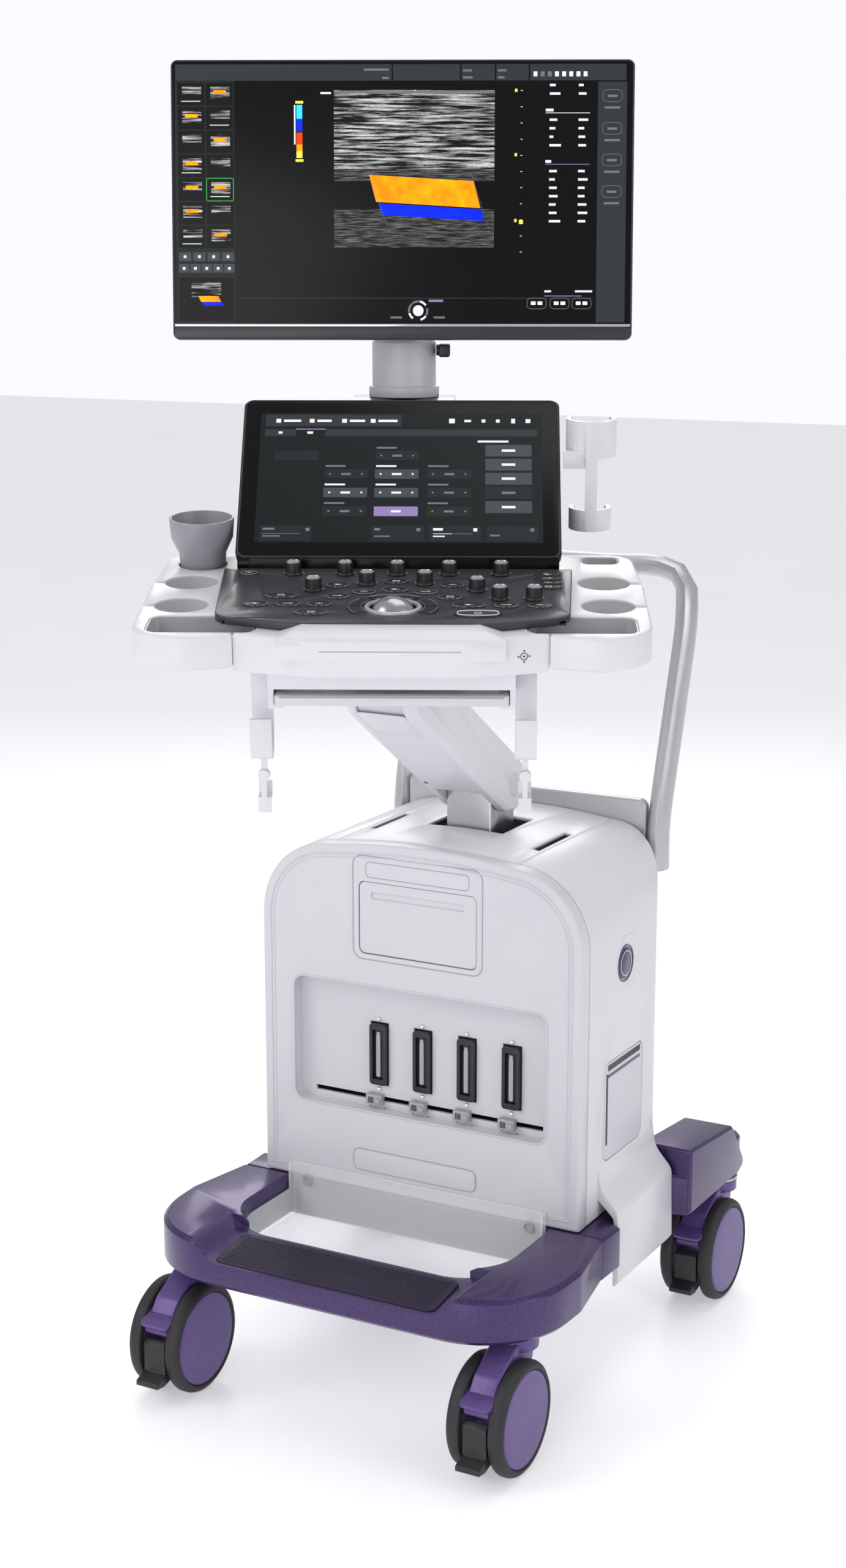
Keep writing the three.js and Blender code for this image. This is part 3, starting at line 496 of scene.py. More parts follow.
@dataclass(frozen=True)
class Lit(Finish):
    """A lit area of a display; the deck's printed marks use it too, and on them the faint glow is painted
    light.
    """

    specular: float = 0.15
    power: float = 1.0

    def dress(self, tree: Tree, shader: Node) -> None:
        """Emission with the faint unevenness of a backlight.

        Args:
            tree: the material's tree.
            shader: the Principled node.
        """
        noise = ShaderGroup.noise(tree, self.coords(tree), self.grain, 2.0)
        colour = ShaderGroup.mix(tree, noise, self.colour, self.second)
        tree.links.new(colour, shader.inputs["Base Color"])
        tree.links.new(colour, shader.inputs["Emission Color"])
        shader.inputs["Emission Strength"].default_value = self.power
        shader.inputs["Specular IOR Level"].default_value = self.specular
        rough = ShaderGroup.spread(tree, noise, self.low, self.high)
        tree.links.new(rough, shader.inputs["Roughness"])


@dataclass(frozen=True)
class Echo(Lit):
    """Layered, speckled grey of a live image, across a screen that is turned about z."""

    turn: float = 27.4
    layers: float = 420.0

    def dress(self, tree: Tree, shader: Node) -> None:
        """Emission from two noises, one stretched into layers and one fine speckle.

        Args:
            tree: the material's tree.
            shader: the Principled node.
        """
        place = tree.nodes.new("ShaderNodeMapping")
        place.inputs["Rotation"].default_value = (0.0, 0.0, -math.radians(self.turn))
        tree.links.new(self.coords(tree), place.inputs["Vector"])
        stretch = tree.nodes.new("ShaderNodeMapping")
        stretch.inputs["Rotation"].default_value = (0.0, math.radians(3.0), 0.0)
        stretch.inputs["Scale"].default_value = (0.05, 0.0, 1.0)
        tree.links.new(place.outputs["Vector"], stretch.inputs["Vector"])
        layer = ShaderGroup.noise(tree, stretch.outputs["Vector"], self.layers, 6.0, 0.62)
        speck = ShaderGroup.noise(tree, place.outputs["Vector"], self.grain, 3.0, 0.7)
        bright = tree.nodes.new("ShaderNodeMath")
        bright.operation = "MULTIPLY"
        ramp = tree.nodes.new("ShaderNodeMapRange")
        ramp.inputs["From Min"].default_value = 0.46
        ramp.inputs["From Max"].default_value = 0.68
        tree.links.new(layer, ramp.inputs["Value"])
        tree.links.new(ramp.outputs["Result"], bright.inputs[0])
        tree.links.new(speck, bright.inputs[1])
        colour = ShaderGroup.mix(tree, bright.outputs["Value"], self.colour, self.second)
        tree.links.new(colour, shader.inputs["Base Color"])
        tree.links.new(colour, shader.inputs["Emission Color"])
        shader.inputs["Emission Strength"].default_value = self.power
        shader.inputs["Specular IOR Level"].default_value = self.specular
        tree.links.new(ShaderGroup.spread(tree, speck, self.low, self.high), shader.inputs["Roughness"])


WHITE = Finish("white_moulding", "white_cover", (0.68, 0.666, 0.7), (0.645, 0.632, 0.667), 0.3, 0.42)
GREY = Finish("light_grey_moulding", "light_grey", (0.60, 0.59, 0.63), (0.56, 0.55, 0.59), 0.32, 0.45)
COVER_GREY = Finish("front_cover_moulding", "light_grey", (0.625, 0.615, 0.65), (0.595, 0.585, 0.62), 0.3,
                    0.42)
PANEL_GREY = Finish("panel_grey_moulding", "light_grey", (0.38, 0.375, 0.41), (0.35, 0.345, 0.38), 0.34, 0.46)
CUP_GREY = Finish("gel_cup_moulding", "light_grey", (0.30, 0.295, 0.33), (0.26, 0.255, 0.29), 0.34, 0.46)
SILVER = FlakePaint("silver_handle_paint", "silver_handle", (0.44, 0.43, 0.45), (0.58, 0.57, 0.6), 0.3, 0.42,
                    0.55, 0.15, 2600.0, bump=0.03)
CHARCOAL = FlakePaint("charcoal_deck_paint", "charcoal_deck", (0.035, 0.033, 0.04), (0.085, 0.08, 0.092),
                      0.36, 0.48, 0.35, 0.1, 3000.0, bump=0.03)
DISH = FlakePaint("dish_paint", "charcoal_deck", (0.42, 0.41, 0.43), (0.55, 0.54, 0.56), 0.34, 0.46, 0.3, 0.1,
                  3000.0, bump=0.03)
LINER = Finish("slot_liner_rubber", "light_grey", (0.40, 0.41, 0.41), (0.36, 0.37, 0.37), 0.45, 0.6)
BLACK = Finish("black_moulding", "black_plastic", (0.010, 0.010, 0.012), (0.018, 0.018, 0.02), 0.35, 0.55)
GLASS = Finish("black_display_glass", "black_glass", (0.0025, 0.0025, 0.003), (0.004, 0.004, 0.005), 0.2,
               0.28, bump=0.0, specular=0.18)
BEZEL = Finish("bezel_moulding", "black_glass", (0.02, 0.021, 0.026), (0.028, 0.029, 0.035), 0.3, 0.42,
               bump=0.02)
PURPLE = FlakePaint("purple_metallic_paint", "purple_paint", (0.018, 0.009, 0.046), (0.092, 0.047, 0.195),
                    0.28, 0.4, 0.5, 0.4, 2600.0, bump=0.03)
PURPLE_MOULDING = FlakePaint("purple_moulding", "purple_plastic", (0.022, 0.011, 0.056),
                             (0.108, 0.056, 0.225), 0.28, 0.4, 0.45, 0.3, 2600.0, bump=0.03)
PURPLE_DISC = FlakePaint("purple_disc_paint", "purple_plastic", (0.09, 0.052, 0.19), (0.165, 0.1, 0.32),
                         0.36, 0.48, 0.25, 0.1, 2600.0, bump=0.02)
PAD = Finish("footrest_rubber", "purple_plastic", (0.014, 0.009, 0.03), (0.02, 0.012, 0.038), 0.5, 0.65,
             grain=1800.0, bump=0.15)
TYRE = Finish("tyre_rubber", "rubber_tyre", (0.014, 0.014, 0.016), (0.022, 0.022, 0.024), 0.5, 0.7, bump=0.12)
CLEAR = ClearMoulding("clear_acrylic", "clear_acrylic", (0.93, 0.94, 0.97), (0.9, 0.92, 0.96), 0.03, 0.08)
STEEL = FlakePaint("brushed_steel_finish", "steel", (0.5, 0.5, 0.52), (0.62, 0.62, 0.64), 0.25, 0.38, 1.0,
                   0.0, 1800.0)
CHROME = FlakePaint("chrome_finish", "steel", (0.75, 0.75, 0.78), (0.85, 0.85, 0.88), 0.08, 0.14, 1.0,
                    0.0, 900.0, bump=0.01)
BALL_SILVER = FlakePaint("trackball_finish", "light_grey", (0.30, 0.30, 0.31), (0.5, 0.5, 0.52), 0.2, 0.3,
                         0.7, 0.5, 2400.0, bump=0.01)
BOARD = Finish("connector_moulding", "board", (0.05, 0.055, 0.07), (0.07, 0.075, 0.09), 0.4, 0.55)
CAGE = Finish("electronics_cage_finish", "electronics", (0.06, 0.065, 0.075), (0.08, 0.085, 0.095), 0.45, 0.6)
# The deck's light grey printed marks get a faint emission: a painted glow that keeps them bright in shade.
KEY_MARK_GLOW = Lit("key_mark_painted_glow", "light_grey", (0.6, 0.61, 0.65), (0.52, 0.53, 0.57), 0.4, 0.5, power=0.3)
ECHO = Echo("live_image", "black_glass", (0.003, 0.003, 0.003), (0.9, 0.9, 0.9), 0.25, 0.35, grain=900.0)
ECHO_DEEP = Echo("live_image_deep", "black_glass", (0.006, 0.006, 0.006), (0.24, 0.24, 0.24), 0.25, 0.35,
                 grain=1100.0, layers=900.0)
LIT_PAGE = Lit("page_dark", "black_glass", (0.0075, 0.009, 0.0095), (0.006, 0.0075, 0.008), 0.25, 0.35,
               power=0.8)
LIT_BAR = Lit("page_bar", "black_glass", (0.02, 0.023, 0.026), (0.017, 0.02, 0.022), 0.25, 0.35, power=1.0)
LIT_BUTTON = Lit("page_button", "black_glass", (0.035, 0.042, 0.046), (0.031, 0.037, 0.041), 0.25, 0.35,
                 power=1.0)
LIT_DIM = Lit("page_dim", "black_glass", (0.012, 0.014, 0.015), (0.01, 0.012, 0.013), 0.25, 0.35, power=1.0)
LIT_TEXT = Lit("page_mark", "black_glass", (0.52, 0.53, 0.55), (0.46, 0.47, 0.49), 0.25, 0.35, power=0.9)
LIT_FAINT = Lit("page_faint_mark", "black_glass", (0.11, 0.115, 0.12), (0.09, 0.095, 0.1), 0.25, 0.35,
                power=0.9)
LIT_PURPLE = Lit("page_purple", "black_glass", (0.19, 0.13, 0.29), (0.17, 0.115, 0.27), 0.25, 0.35, power=0.9)
LIT_ORANGE = Lit("flow_orange", "black_glass", (0.9, 0.06, 0.0), (1.0, 0.4, 0.0), 0.25, 0.35, grain=70.0,
                 power=0.9)
LIT_YELLOW = Lit("scale_yellow", "black_glass", (0.95, 0.72, 0.05), (0.9, 0.62, 0.03), 0.25, 0.35, power=1.0)
LIT_RED = Lit("scale_red", "black_glass", (0.75, 0.02, 0.0), (0.85, 0.05, 0.0), 0.25, 0.35, power=1.0)
LIT_BLUE = Lit("flow_blue", "black_glass", (0.0, 0.005, 0.4), (0.0, 0.02, 0.75), 0.25, 0.35, grain=90.0,
               power=0.9)
LIT_CYAN = Lit("scale_cyan", "black_glass", (0.02, 0.5, 0.85), (0.02, 0.42, 0.8), 0.25, 0.35, power=1.0)
LIT_GREEN = Lit("choice_green", "black_glass", (0.03, 0.42, 0.06), (0.03, 0.36, 0.05), 0.25, 0.35, power=0.9)


# ---- bench tools -------------------------------------------------------------------------------


class Bench:
    """Modelling operators, as they are used by hand on one piece."""

    @staticmethod
    def clear() -> None:
        """Deselects everything in object mode."""
        if bpy.context.object and bpy.context.object.mode != "OBJECT":
            bpy.ops.object.mode_set(mode="OBJECT")
        bpy.ops.object.select_all(action="DESELECT")

    @staticmethod
    def only(obj: bpy.types.Object) -> None:
        """Selects one object and makes it active.

        Args:
            obj: the object.
        """
        Bench.clear()
        obj.select_set(True)
        bpy.context.view_layer.objects.active = obj

    @staticmethod
    def freeze(obj: bpy.types.Object) -> bpy.types.Object:
        """Applies an object's place, turn and scale to its mesh.

        Args:
            obj: the object.

        Returns:
            The same object.
        """
        Bench.only(obj)
        bpy.ops.object.transform_apply(location=True, rotation=True, scale=True)
        return obj

    @staticmethod
    def pick(obj: bpy.types.Object, edges: Optional[Callable] = None,
             faces: Optional[Callable] = None) -> int:
        """Selects edges or faces by their place and enters edit mode.

        Args:
            obj: the object.
            edges: takes an edge's two ends and says whether it is picked.
            faces: takes a face's centre and normal and says whether it is picked.

        Returns:
            How many are picked.
        """
        Bench.only(obj)
        mesh = obj.data
        for kind in (mesh.vertices, mesh.edges, mesh.polygons):
            kind.foreach_set("select", [False] * len(kind))
        count = 0
        if edges:
            bpy.context.tool_settings.mesh_select_mode = (False, True, False)
            for edge in mesh.edges:
                ends = [mesh.vertices[i].co for i in edge.vertices]
                if edges(*ends):
                    edge.select = True
                    count += 1
        if faces:
            bpy.context.tool_settings.mesh_select_mode = (False, False, True)
            for face in mesh.polygons:
                if faces(face.center, face.normal):
                    face.select = True
                    count += 1
        bpy.ops.object.mode_set(mode="EDIT")
        return count

    @staticmethod
    def bevel(obj: bpy.types.Object, edges: Callable, width: float, segments: int) -> None:
        """Bevels the edges that a test picks.

        Args:
            obj: the object.
            edges: the test on an edge's two ends.
            width: width of the bevel.
            segments: its steps.
        """
        if Bench.pick(obj, edges=edges):
            bpy.ops.mesh.bevel(offset=width, segments=segments, affect="EDGES", clamp_overlap=True)
        bpy.ops.object.mode_set(mode="OBJECT")

    @staticmethod
    def block(low: Point, high: Point, soft: float = 0.0, steps: int = 2) -> bpy.types.Object:
        """A block with softened edges.

        Args:
            low: lowest corner.
            high: highest corner.
            soft: width of the bevel round its edges.
            steps: steps of the bevel.

        Returns:
            The block.
        """
        Bench.clear()
        centre = [(a + b) / 2 for a, b in zip(low, high)]
        size = [b - a for a, b in zip(low, high)]
        bpy.ops.mesh.primitive_cube_add(size=1.0, location=centre, scale=size)
        obj = Bench.freeze(bpy.context.object)
        if soft:
            Bench.bevel(obj, lambda a, b: True, soft, steps)
        return obj

    @staticmethod
    def plate(low: Point, high: Point, corner: float, soft: float = 0.0, steps: int = 6) -> bpy.types.Object:
        """A plate with round corners about z and a soft rim.

        Args:
            low: lowest corner.
            high: highest corner.
            corner: radius of its corners.
            soft: bevel round both rims.
            steps: steps in each corner.

        Returns:
            The plate.
        """
        obj = Bench.block(low, high)
        Bench.bevel(obj, lambda a, b: abs((b - a).normalized().z) > 0.99, corner, steps)
        if soft:
            Bench.bevel(obj, lambda a, b: abs((b - a).z) < 1e-6, soft, 2)
        return obj

    @staticmethod
    def turned(profile: Sequence[tuple[float, float]], steps: int = 48) -> bpy.types.Object:
        """A body turned about z from a profile.

        Args:
            profile: radius and height of each point, from the axis to the axis or closed on itself.
            steps: steps round the body.

        Returns:
            The turned body.
        """
        Bench.clear()
        bpy.context.tool_settings.mesh_select_mode = (True, False, False)
        bpy.ops.mesh.primitive_plane_add(size=1.0)
        obj = bpy.context.object
        bpy.ops.object.mode_set(mode="EDIT")
        bpy.ops.mesh.select_all(action="SELECT")
        bpy.ops.mesh.merge(type="CENTER")
        bpy.ops.transform.translate(value=(profile[0][0], 0.0, profile[0][1]))
        for (r0, z0), (r1, z1) in zip(profile, profile[1:]):
            bpy.ops.mesh.extrude_region_move(TRANSFORM_OT_translate={"value": (r1 - r0, 0.0, z1 - z0)})
        bpy.ops.mesh.select_all(action="SELECT")
        bpy.ops.mesh.spin(steps=steps, angle=2 * math.pi, center=(0, 0, 0), axis=(0, 0, 1))
        bpy.ops.mesh.select_all(action="SELECT")
        bpy.ops.mesh.remove_doubles(threshold=0.01)
        bpy.ops.mesh.normals_make_consistent(inside=False)
        bpy.ops.object.mode_set(mode="OBJECT")
        return obj

    @staticmethod
    def slant(obj: bpy.types.Object, shift: float) -> bpy.types.Object:
        """Leans a block by sliding its far end, which faces +y, along x.

        Args:
            obj: the block.
            shift: how far the end slides.

        Returns:
            The same block.
        """
        Bench.pick(obj, faces=lambda centre, normal: normal.y > 0.99)
        bpy.ops.transform.translate(value=(shift, 0.0, 0.0))
        bpy.ops.object.mode_set(mode="OBJECT")
        return obj

    @staticmethod
    def loop(line: Sequence[Point], radius: float) -> bpy.types.Object:
        """A thin bead along a closed line.

        Args:
            line: the line's corners.
            radius: radius of the bead.

        Returns:
            The bead.
        """
        return Bench.tube([*line, line[0]], radius, smooth=False)

    @staticmethod
    def oval(x: float, y: float, z: float, half_x: float, half_y: float, radius: float,
             power: float = 1.0) -> bpy.types.Object:
        """A bead round an oval, or round a pill when the power is below 1.

        Args:
            x: centre across.
            y: centre along.
            z: height.
            half_x: half length.
            half_y: half depth.
            radius: radius of the bead.
            power: squareness, from 1 for an ellipse down to 0 for a rectangle.

        Returns:
            The bead.
        """
        line: list[Point] = []
        steps = 40
        for step in range(steps):
            turn = 2 * math.pi * step / steps
            cosine, sine = math.cos(turn), math.sin(turn)
            line.append((x + half_x * math.copysign(abs(cosine) ** power, cosine),
                         y + half_y * math.copysign(abs(sine) ** power, sine), z))
        return Bench.loop(line, radius)

    @staticmethod
    def ring(x0: float, x1: float, y0: float, y1: float, corner: float, radius: float) -> bpy.types.Object:
        """A bead round a rectangle with round corners.

        Args:
            x0: left side.
            x1: right side.
            y0: bottom.
            y1: top.
            corner: radius of its corners.
            radius: radius of the bead.

        Returns:
            The bead.
        """
        line: list[Point] = []
        centres = ((x1 - corner, y1 - corner, 0), (x0 + corner, y1 - corner, 90),
                   (x0 + corner, y0 + corner, 180), (x1 - corner, y0 + corner, 270))
        for centre_x, centre_y, start in centres:
            for step in range(0, 91, 15):
                x, y = around(corner, start + step)
                line.append((centre_x + x, centre_y + y, 0.0))
        return Bench.loop(line, radius)

    @staticmethod
    def tube(path: Iterable[Point], radius: float, smooth: bool = True) -> bpy.types.Object:
        """A round tube along a path.

        Args:
            path: the points of its middle line.
            radius: radius of the tube.
            smooth: whether the line runs smoothly through the points.

        Returns:
            The tube as a mesh.
        """
        points = list(path)
        curve = bpy.data.curves.new("tube", "CURVE")
        curve.dimensions = "3D"
        curve.bevel_depth = radius
        curve.bevel_resolution = 4
        curve.use_fill_caps = True
        spline = curve.splines.new("BEZIER" if smooth else "POLY")
        if smooth:
            spline.bezier_points.add(len(points) - 1)
            for handle, point in zip(spline.bezier_points, points):
                handle.co = point
                handle.handle_left_type = handle.handle_right_type = "AUTO"
        else:
            spline.points.add(len(points) - 1)
            for handle, point in zip(spline.points, points):
                handle.co = (*point, 1.0)
        obj = bpy.data.objects.new("tube", curve)
        bpy.context.collection.objects.link(obj)
        Bench.only(obj)
        bpy.ops.object.convert(target="MESH")
        return bpy.context.object

    @staticmethod
    def turn(obj: bpy.types.Object, matrix: Matrix) -> bpy.types.Object:
        """Moves and turns a piece, into its mesh.

        Args:
            obj: the object.
            matrix: where it goes.

        Returns:
            The same object.
        """
        obj.matrix_world = matrix @ obj.matrix_world
        return Bench.freeze(obj)

    @staticmethod
    def copy(obj: bpy.types.Object, matrix: Matrix) -> bpy.types.Object:
        """A copy with its own mesh, at another place.

        Args:
            obj: the object.
            matrix: from the first place to the other.

        Returns:
            The copy.
        """
        twin = obj.copy()
        twin.data = obj.data.copy()
        bpy.context.collection.objects.link(twin)
        return Bench.turn(twin, matrix)

    @staticmethod
    def drop(*parts: bpy.types.Object) -> None:
        """Deletes parts that were only there to be copied or to cut.

        Args:
            parts: the parts.
        """
        for part in parts:
            bpy.data.objects.remove(part, do_unlink=True)

    @staticmethod
    def join(parts: Sequence[bpy.types.Object]) -> bpy.types.Object:
        """Joins parts into one object.

        Args:
            parts: the parts.

        Returns:
            The joined object.
        """
        Bench.clear()
        for part in parts:
            part.select_set(True)
        bpy.context.view_layer.objects.active = parts[0]
        if len(parts) > 1:
            bpy.ops.object.join()
        return bpy.context.view_layer.objects.active

    @staticmethod
    def carve(obj: bpy.types.Object, tool: bpy.types.Object) -> bpy.types.Object:
        """Cuts a tool's shape out of a piece.

        Args:
            obj: the piece.
            tool: the shape that is taken away.

        Returns:
            The piece.
        """
        Bench.only(obj)
        cut = obj.modifiers.new("cut", "BOOLEAN")
        cut.operation = "DIFFERENCE"
        cut.solver = "EXACT"
        cut.object = tool
        bpy.ops.object.modifier_apply(modifier=cut.name)
        Bench.drop(tool)
        return obj

    @staticmethod
    def smooth(obj: bpy.types.Object, angle: float = SHARP) -> bpy.types.Object:
        """Shades a piece smooth, except over sharp edges.

        Args:
            obj: the piece.
            angle: the least angle of a sharp edge, in degrees.

        Returns:
            The piece.
        """
        Bench.only(obj)
        bpy.ops.object.shade_smooth_by_angle(angle=math.radians(angle))
        return obj

    @staticmethod
    def refined(node: str, width: float) -> bpy.types.Object:
        """A copy of a CAD node with its edges rounded.

        Args:
            node: the CAD node.
            width: width of the rounding, in metres.

        Returns:
            The copy, in the row frame.
        """
        source = frame["nodes"][node]
        obj = bpy.data.objects.new(node + "_skin", source.data.copy())
        obj.data.materials.clear()
        bpy.context.collection.objects.link(obj)
        Bench.only(obj)
        bpy.ops.object.mode_set(mode="EDIT")
        bpy.ops.mesh.select_all(action="SELECT")
        bpy.ops.mesh.remove_doubles(threshold=0.00002)
        bpy.ops.mesh.dissolve_limited(angle_limit=math.radians(0.8))
        bpy.ops.object.mode_set(mode="OBJECT")
        soft = obj.modifiers.new("soft_edges", "BEVEL")
        soft.width = width
        soft.segments = 2
        soft.limit_method = "ANGLE"
        soft.angle_limit = math.radians(ROUNDED)
        soft.use_clamp_overlap = True
        bpy.ops.object.modifier_apply(modifier=soft.name)
        return obj


@dataclass
class Maker:
    """A sub-assembly's maker: names its pieces, dresses them and ties them to a body."""

    places: Places

    def finish(self, obj: bpy.types.Object, name: str, body: str, coat: Finish,
               place: Optional[Matrix] = None, replaces: Sequence[str] = (),
               angle: float = SHARP) -> bpy.types.Object:
        """Sets a piece in its place, dresses it and ties it to its body.

        Args:
            obj: the piece.
            name: its name.
            body: the body it rides on.
            coat: its finish.
            place: from its own millimetres to the row frame; None if it is there already.
            replaces: CAD nodes that it stands for.
            angle: the least angle that stays sharp, in degrees.

        Returns:
            The finished piece.
        """
        if place is not None:
            Bench.turn(obj, place)
        obj.name = name
        obj.data.name = name
        obj.data.materials.clear()
        obj.data.materials.append(coat.material())
        Bench.smooth(obj, angle)
        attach(obj, body)
        if replaces:
            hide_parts(*replaces)
        LOG.info("%s: %d faces on %s", name, len(obj.data.polygons), body)
        return obj

    def skin(self, node: str, body: str, coat: Finish, width: float = 0.0008) -> bpy.types.Object:
        """Replaces a CAD node by its own shape with rounded edges.

        Args:
            node: the CAD node.
            body: the body it rides on.
            coat: its finish.
            width: width of the rounding, in metres.

        Returns:
            The finished piece.
        """
        return self.finish(Bench.refined(node, width), node + "_skin", body, coat, replaces=[node])

    def bars(self, name: str, body: str, coat: Finish, place: Matrix, rects: Sequence[Rect],
             level: float = 0.0, thick: float = 0.25) -> bpy.types.Object:
        """Thin flat marks on a face, joined into one piece.

        Args:
            name: the piece's name.
            body: the body it rides on.
            coat: its finish.
            place: a frame whose x and y lie in the face and whose z points out of it.
            rects: each mark's x, y, half width and half height.
            level: height of the marks' undersides.
            thick: their thickness.

        Returns:
            The finished piece.
        """
        parts = [Bench.block((x - w, y - h, level), (x + w, y + h, level + thick)) for x, y, w, h in rects]
        return self.finish(Bench.join(parts), name, body, coat, place)


# ---- base and casters --------------------------------------------------------------------------


@dataclass
class Casters(Maker):
    """Four twin-wheel casters with brake pedals."""

    names: tuple[str, ...] = ("front_left", "front_right", "rear_left", "rear_right")
    wheel_radius: float = 62.5
    inner: float = 16.6
    outer: float = 33.8
    trail: float = 37.0
    disc_radius: float = 53.0
    tab_place: Point = (0.0, -84.0, 97.0)
    tab_slope: float = 22.0
    pedal_pivot: Point = (0.0, -82.0, 74.0)

    def tyre(self) -> bpy.types.Object:
        """One tyre with a soft shoulder and a groove beside the disc.

        Returns:
            The tyre about z, from the inner face to the outer one.
        """
        r, a, b = self.wheel_radius, self.inner, self.outer
        return Bench.turned([(self.disc_radius, a + 0.6), (r - 4, a), (r - 1.2, a + 1.2), (r, a + 4),
                             (r, b - 7), (r - 1.4, b - 3.4), (r - 5.0, b - 0.6), (r - 7.0, b - 0.2),
                             (self.disc_radius + 0.6, b - 1.4), (self.disc_radius, b - 2.4),
                             (self.disc_radius, a + 0.6)], 72)

    def disc(self) -> bpy.types.Object:
        """One wheel disc: a crowned outer face with a raised hub and a rim line.

        Returns:
            The disc about z.
        """
        r, a, b = self.disc_radius - 0.2, self.inner + 0.6, self.outer
        return Bench.turned([
            (6.6, a), (r, a), (r, b - 2.0), (r - 1.0, b - 1.0), (r - 3.0, b - 0.7), (r - 12, b - 0.35),
            (24.0, b), (0.0, b + 0.15), (0.0, b - 6), (6.6, b - 6), (6.6, a),
        ], 72)

    def wheels(self, place: str) -> None:
        """Dresses one caster's pair of wheels.

        Args:
            place: which caster.
        """
        body = f"caster_wheels_{place}"
        axle = self.places.caster(place) @ move(0, -self.trail, self.wheel_radius)
        for side, label in SIDES:
            turn = axle @ spin("Y", 90 * side)
            replaced = (body,) if side > 0 else ()
            self.finish(self.tyre(), f"tyre_{place}_{label}", body, TYRE, turn, replaced)
            self.finish(self.disc(), f"wheel_disc_{place}_{label}", body, PURPLE_DISC, turn, angle=30)
        shaft = Bench.turned([(0, -28), (5.6, -28), (5.6, 28), (0, 28)], 24)
        self.finish(shaft, f"axle_{place}", body, STEEL, axle @ spin("Y", 90))

    def fork(self, place: str) -> None:
        """Dresses one caster's yoke, with its swivel ring and release tab.

        Args:
            place: which caster.
        """
        body = f"caster_yoke_{place}"
        spot = self.places.caster(place)
        self.skin(body, body, PURPLE_DISC, 0.0016)
        tab = Bench.plate((-19, -13, -2.2), (19, 15, 2.2), 7, 1.0, 5)
        Bench.pick(tab, faces=lambda centre, normal: normal.y < -0.99)
        bpy.ops.transform.resize(value=(0.7, 1.0, 0.7), center_override=(0, -13, 0))
        bpy.ops.object.mode_set(mode="OBJECT")
        chevron = [Bench.block((-7, -0.7, 2.0), (0.4, 0.7, 2.7)),
                   Bench.block((-0.4, -0.7, 2.0), (7, 0.7, 2.7))]
        for part, lean in zip(chevron, (-25, 25)):
            Bench.turn(part, spin("Z", lean))
        lip = spot @ move(*self.tab_place) @ spin("X", self.tab_slope)
        self.finish(Bench.join([tab, *chevron]), f"release_tab_{place}", body, PURPLE_DISC, lip)
        ring = Bench.turned([(20, 140.5), (25.5, 140.5), (26.6, 141.4), (26.6, 143.4), (25.5, 144.3),
                             (20, 144.3), (20, 140.5)], 40)
        self.finish(ring, f"swivel_ring_{place}", body, STEEL, spot)

    def pedal(self, place: str) -> None:
        """Dresses one caster's brake pedal, with ribs on its toe.

        Args:
            place: which caster.
        """
        body = f"caster_pedal_{place}"
        self.skin(body, body, BLACK, 0.0012)
        pivot = self.places.caster(place) @ move(*self.pedal_pivot)
        ribs = [Bench.block((-12.5, y - 0.8, -45.0), (12.5, y + 0.8, -36.6 + (y + 12) * 0.375), 0.3, 1)
                for y in (-15.5, -18.8, -22.1, -25.4)]
        self.finish(Bench.join(ribs), f"pedal_ribs_{place}", body, BLACK, pivot)

    def build(self) -> None:
        """Dresses all four casters."""
        for place in self.names:
            self.wheels(place)
            self.fork(place)
            self.pedal(place)


@dataclass
class Carriage(Maker):
    """The base: side arms, bumper loop, footrest pad and clear tray."""

    pad_half: float = 138.0

    def build(self) -> None:
        """Dresses the base."""
        self.skin("base_frame", "chassis", PURPLE, 0.0018)
        self.skin("front_bumper", "chassis", PURPLE_MOULDING, 0.0018)
        self.skin("clear_tray", "chassis", CLEAR, 0.0009)
        self.pad()
        self.grommets()

    def pad(self) -> None:
        """The soft pad in the footrest scoop, with fine ribs."""
        slope = math.atan2(10, 74)
        place = self.places.floor @ move(0, -335, 179.1) @ Matrix.Rotation(slope, 4, "X")
        pad = Bench.plate((-self.pad_half, -33, 0), (self.pad_half, 33, 0.9), 9, 0.3, 4)
        self.finish(pad, "footrest_pad", "chassis", PAD, place)
        ribs = [Bench.block((-self.pad_half + 8, y - 0.8, 0.8), (self.pad_half - 8, y + 0.8, 1.4), 0.3, 1)
                for y in range(-26, 27, 4)]
        self.finish(Bench.join(ribs), "footrest_ribs", "chassis", PAD, place)

    def grommets(self) -> None:
        """Two grey grommets in the tray's back wall."""
        grommet = Bench.turned([(0, 0), (4, 0), (4.4, 1.2), (5.6, 1.6), (6.4, 1.0), (6.8, 0), (6.8, -1.5),
                                (0, -1.5)], 28)
        turn = spin("X", 90)
        for side, label in SIDES:
            twin = Bench.copy(grommet, Matrix.Identity(4))
            spot = self.places.floor @ move(side * 146, -154.2, 193) @ turn
            self.finish(twin, f"tray_grommet_{label}", "chassis", PANEL_GREY, spot)
        Bench.drop(grommet)


# ---- body --------------------------------------------------------------------------------------


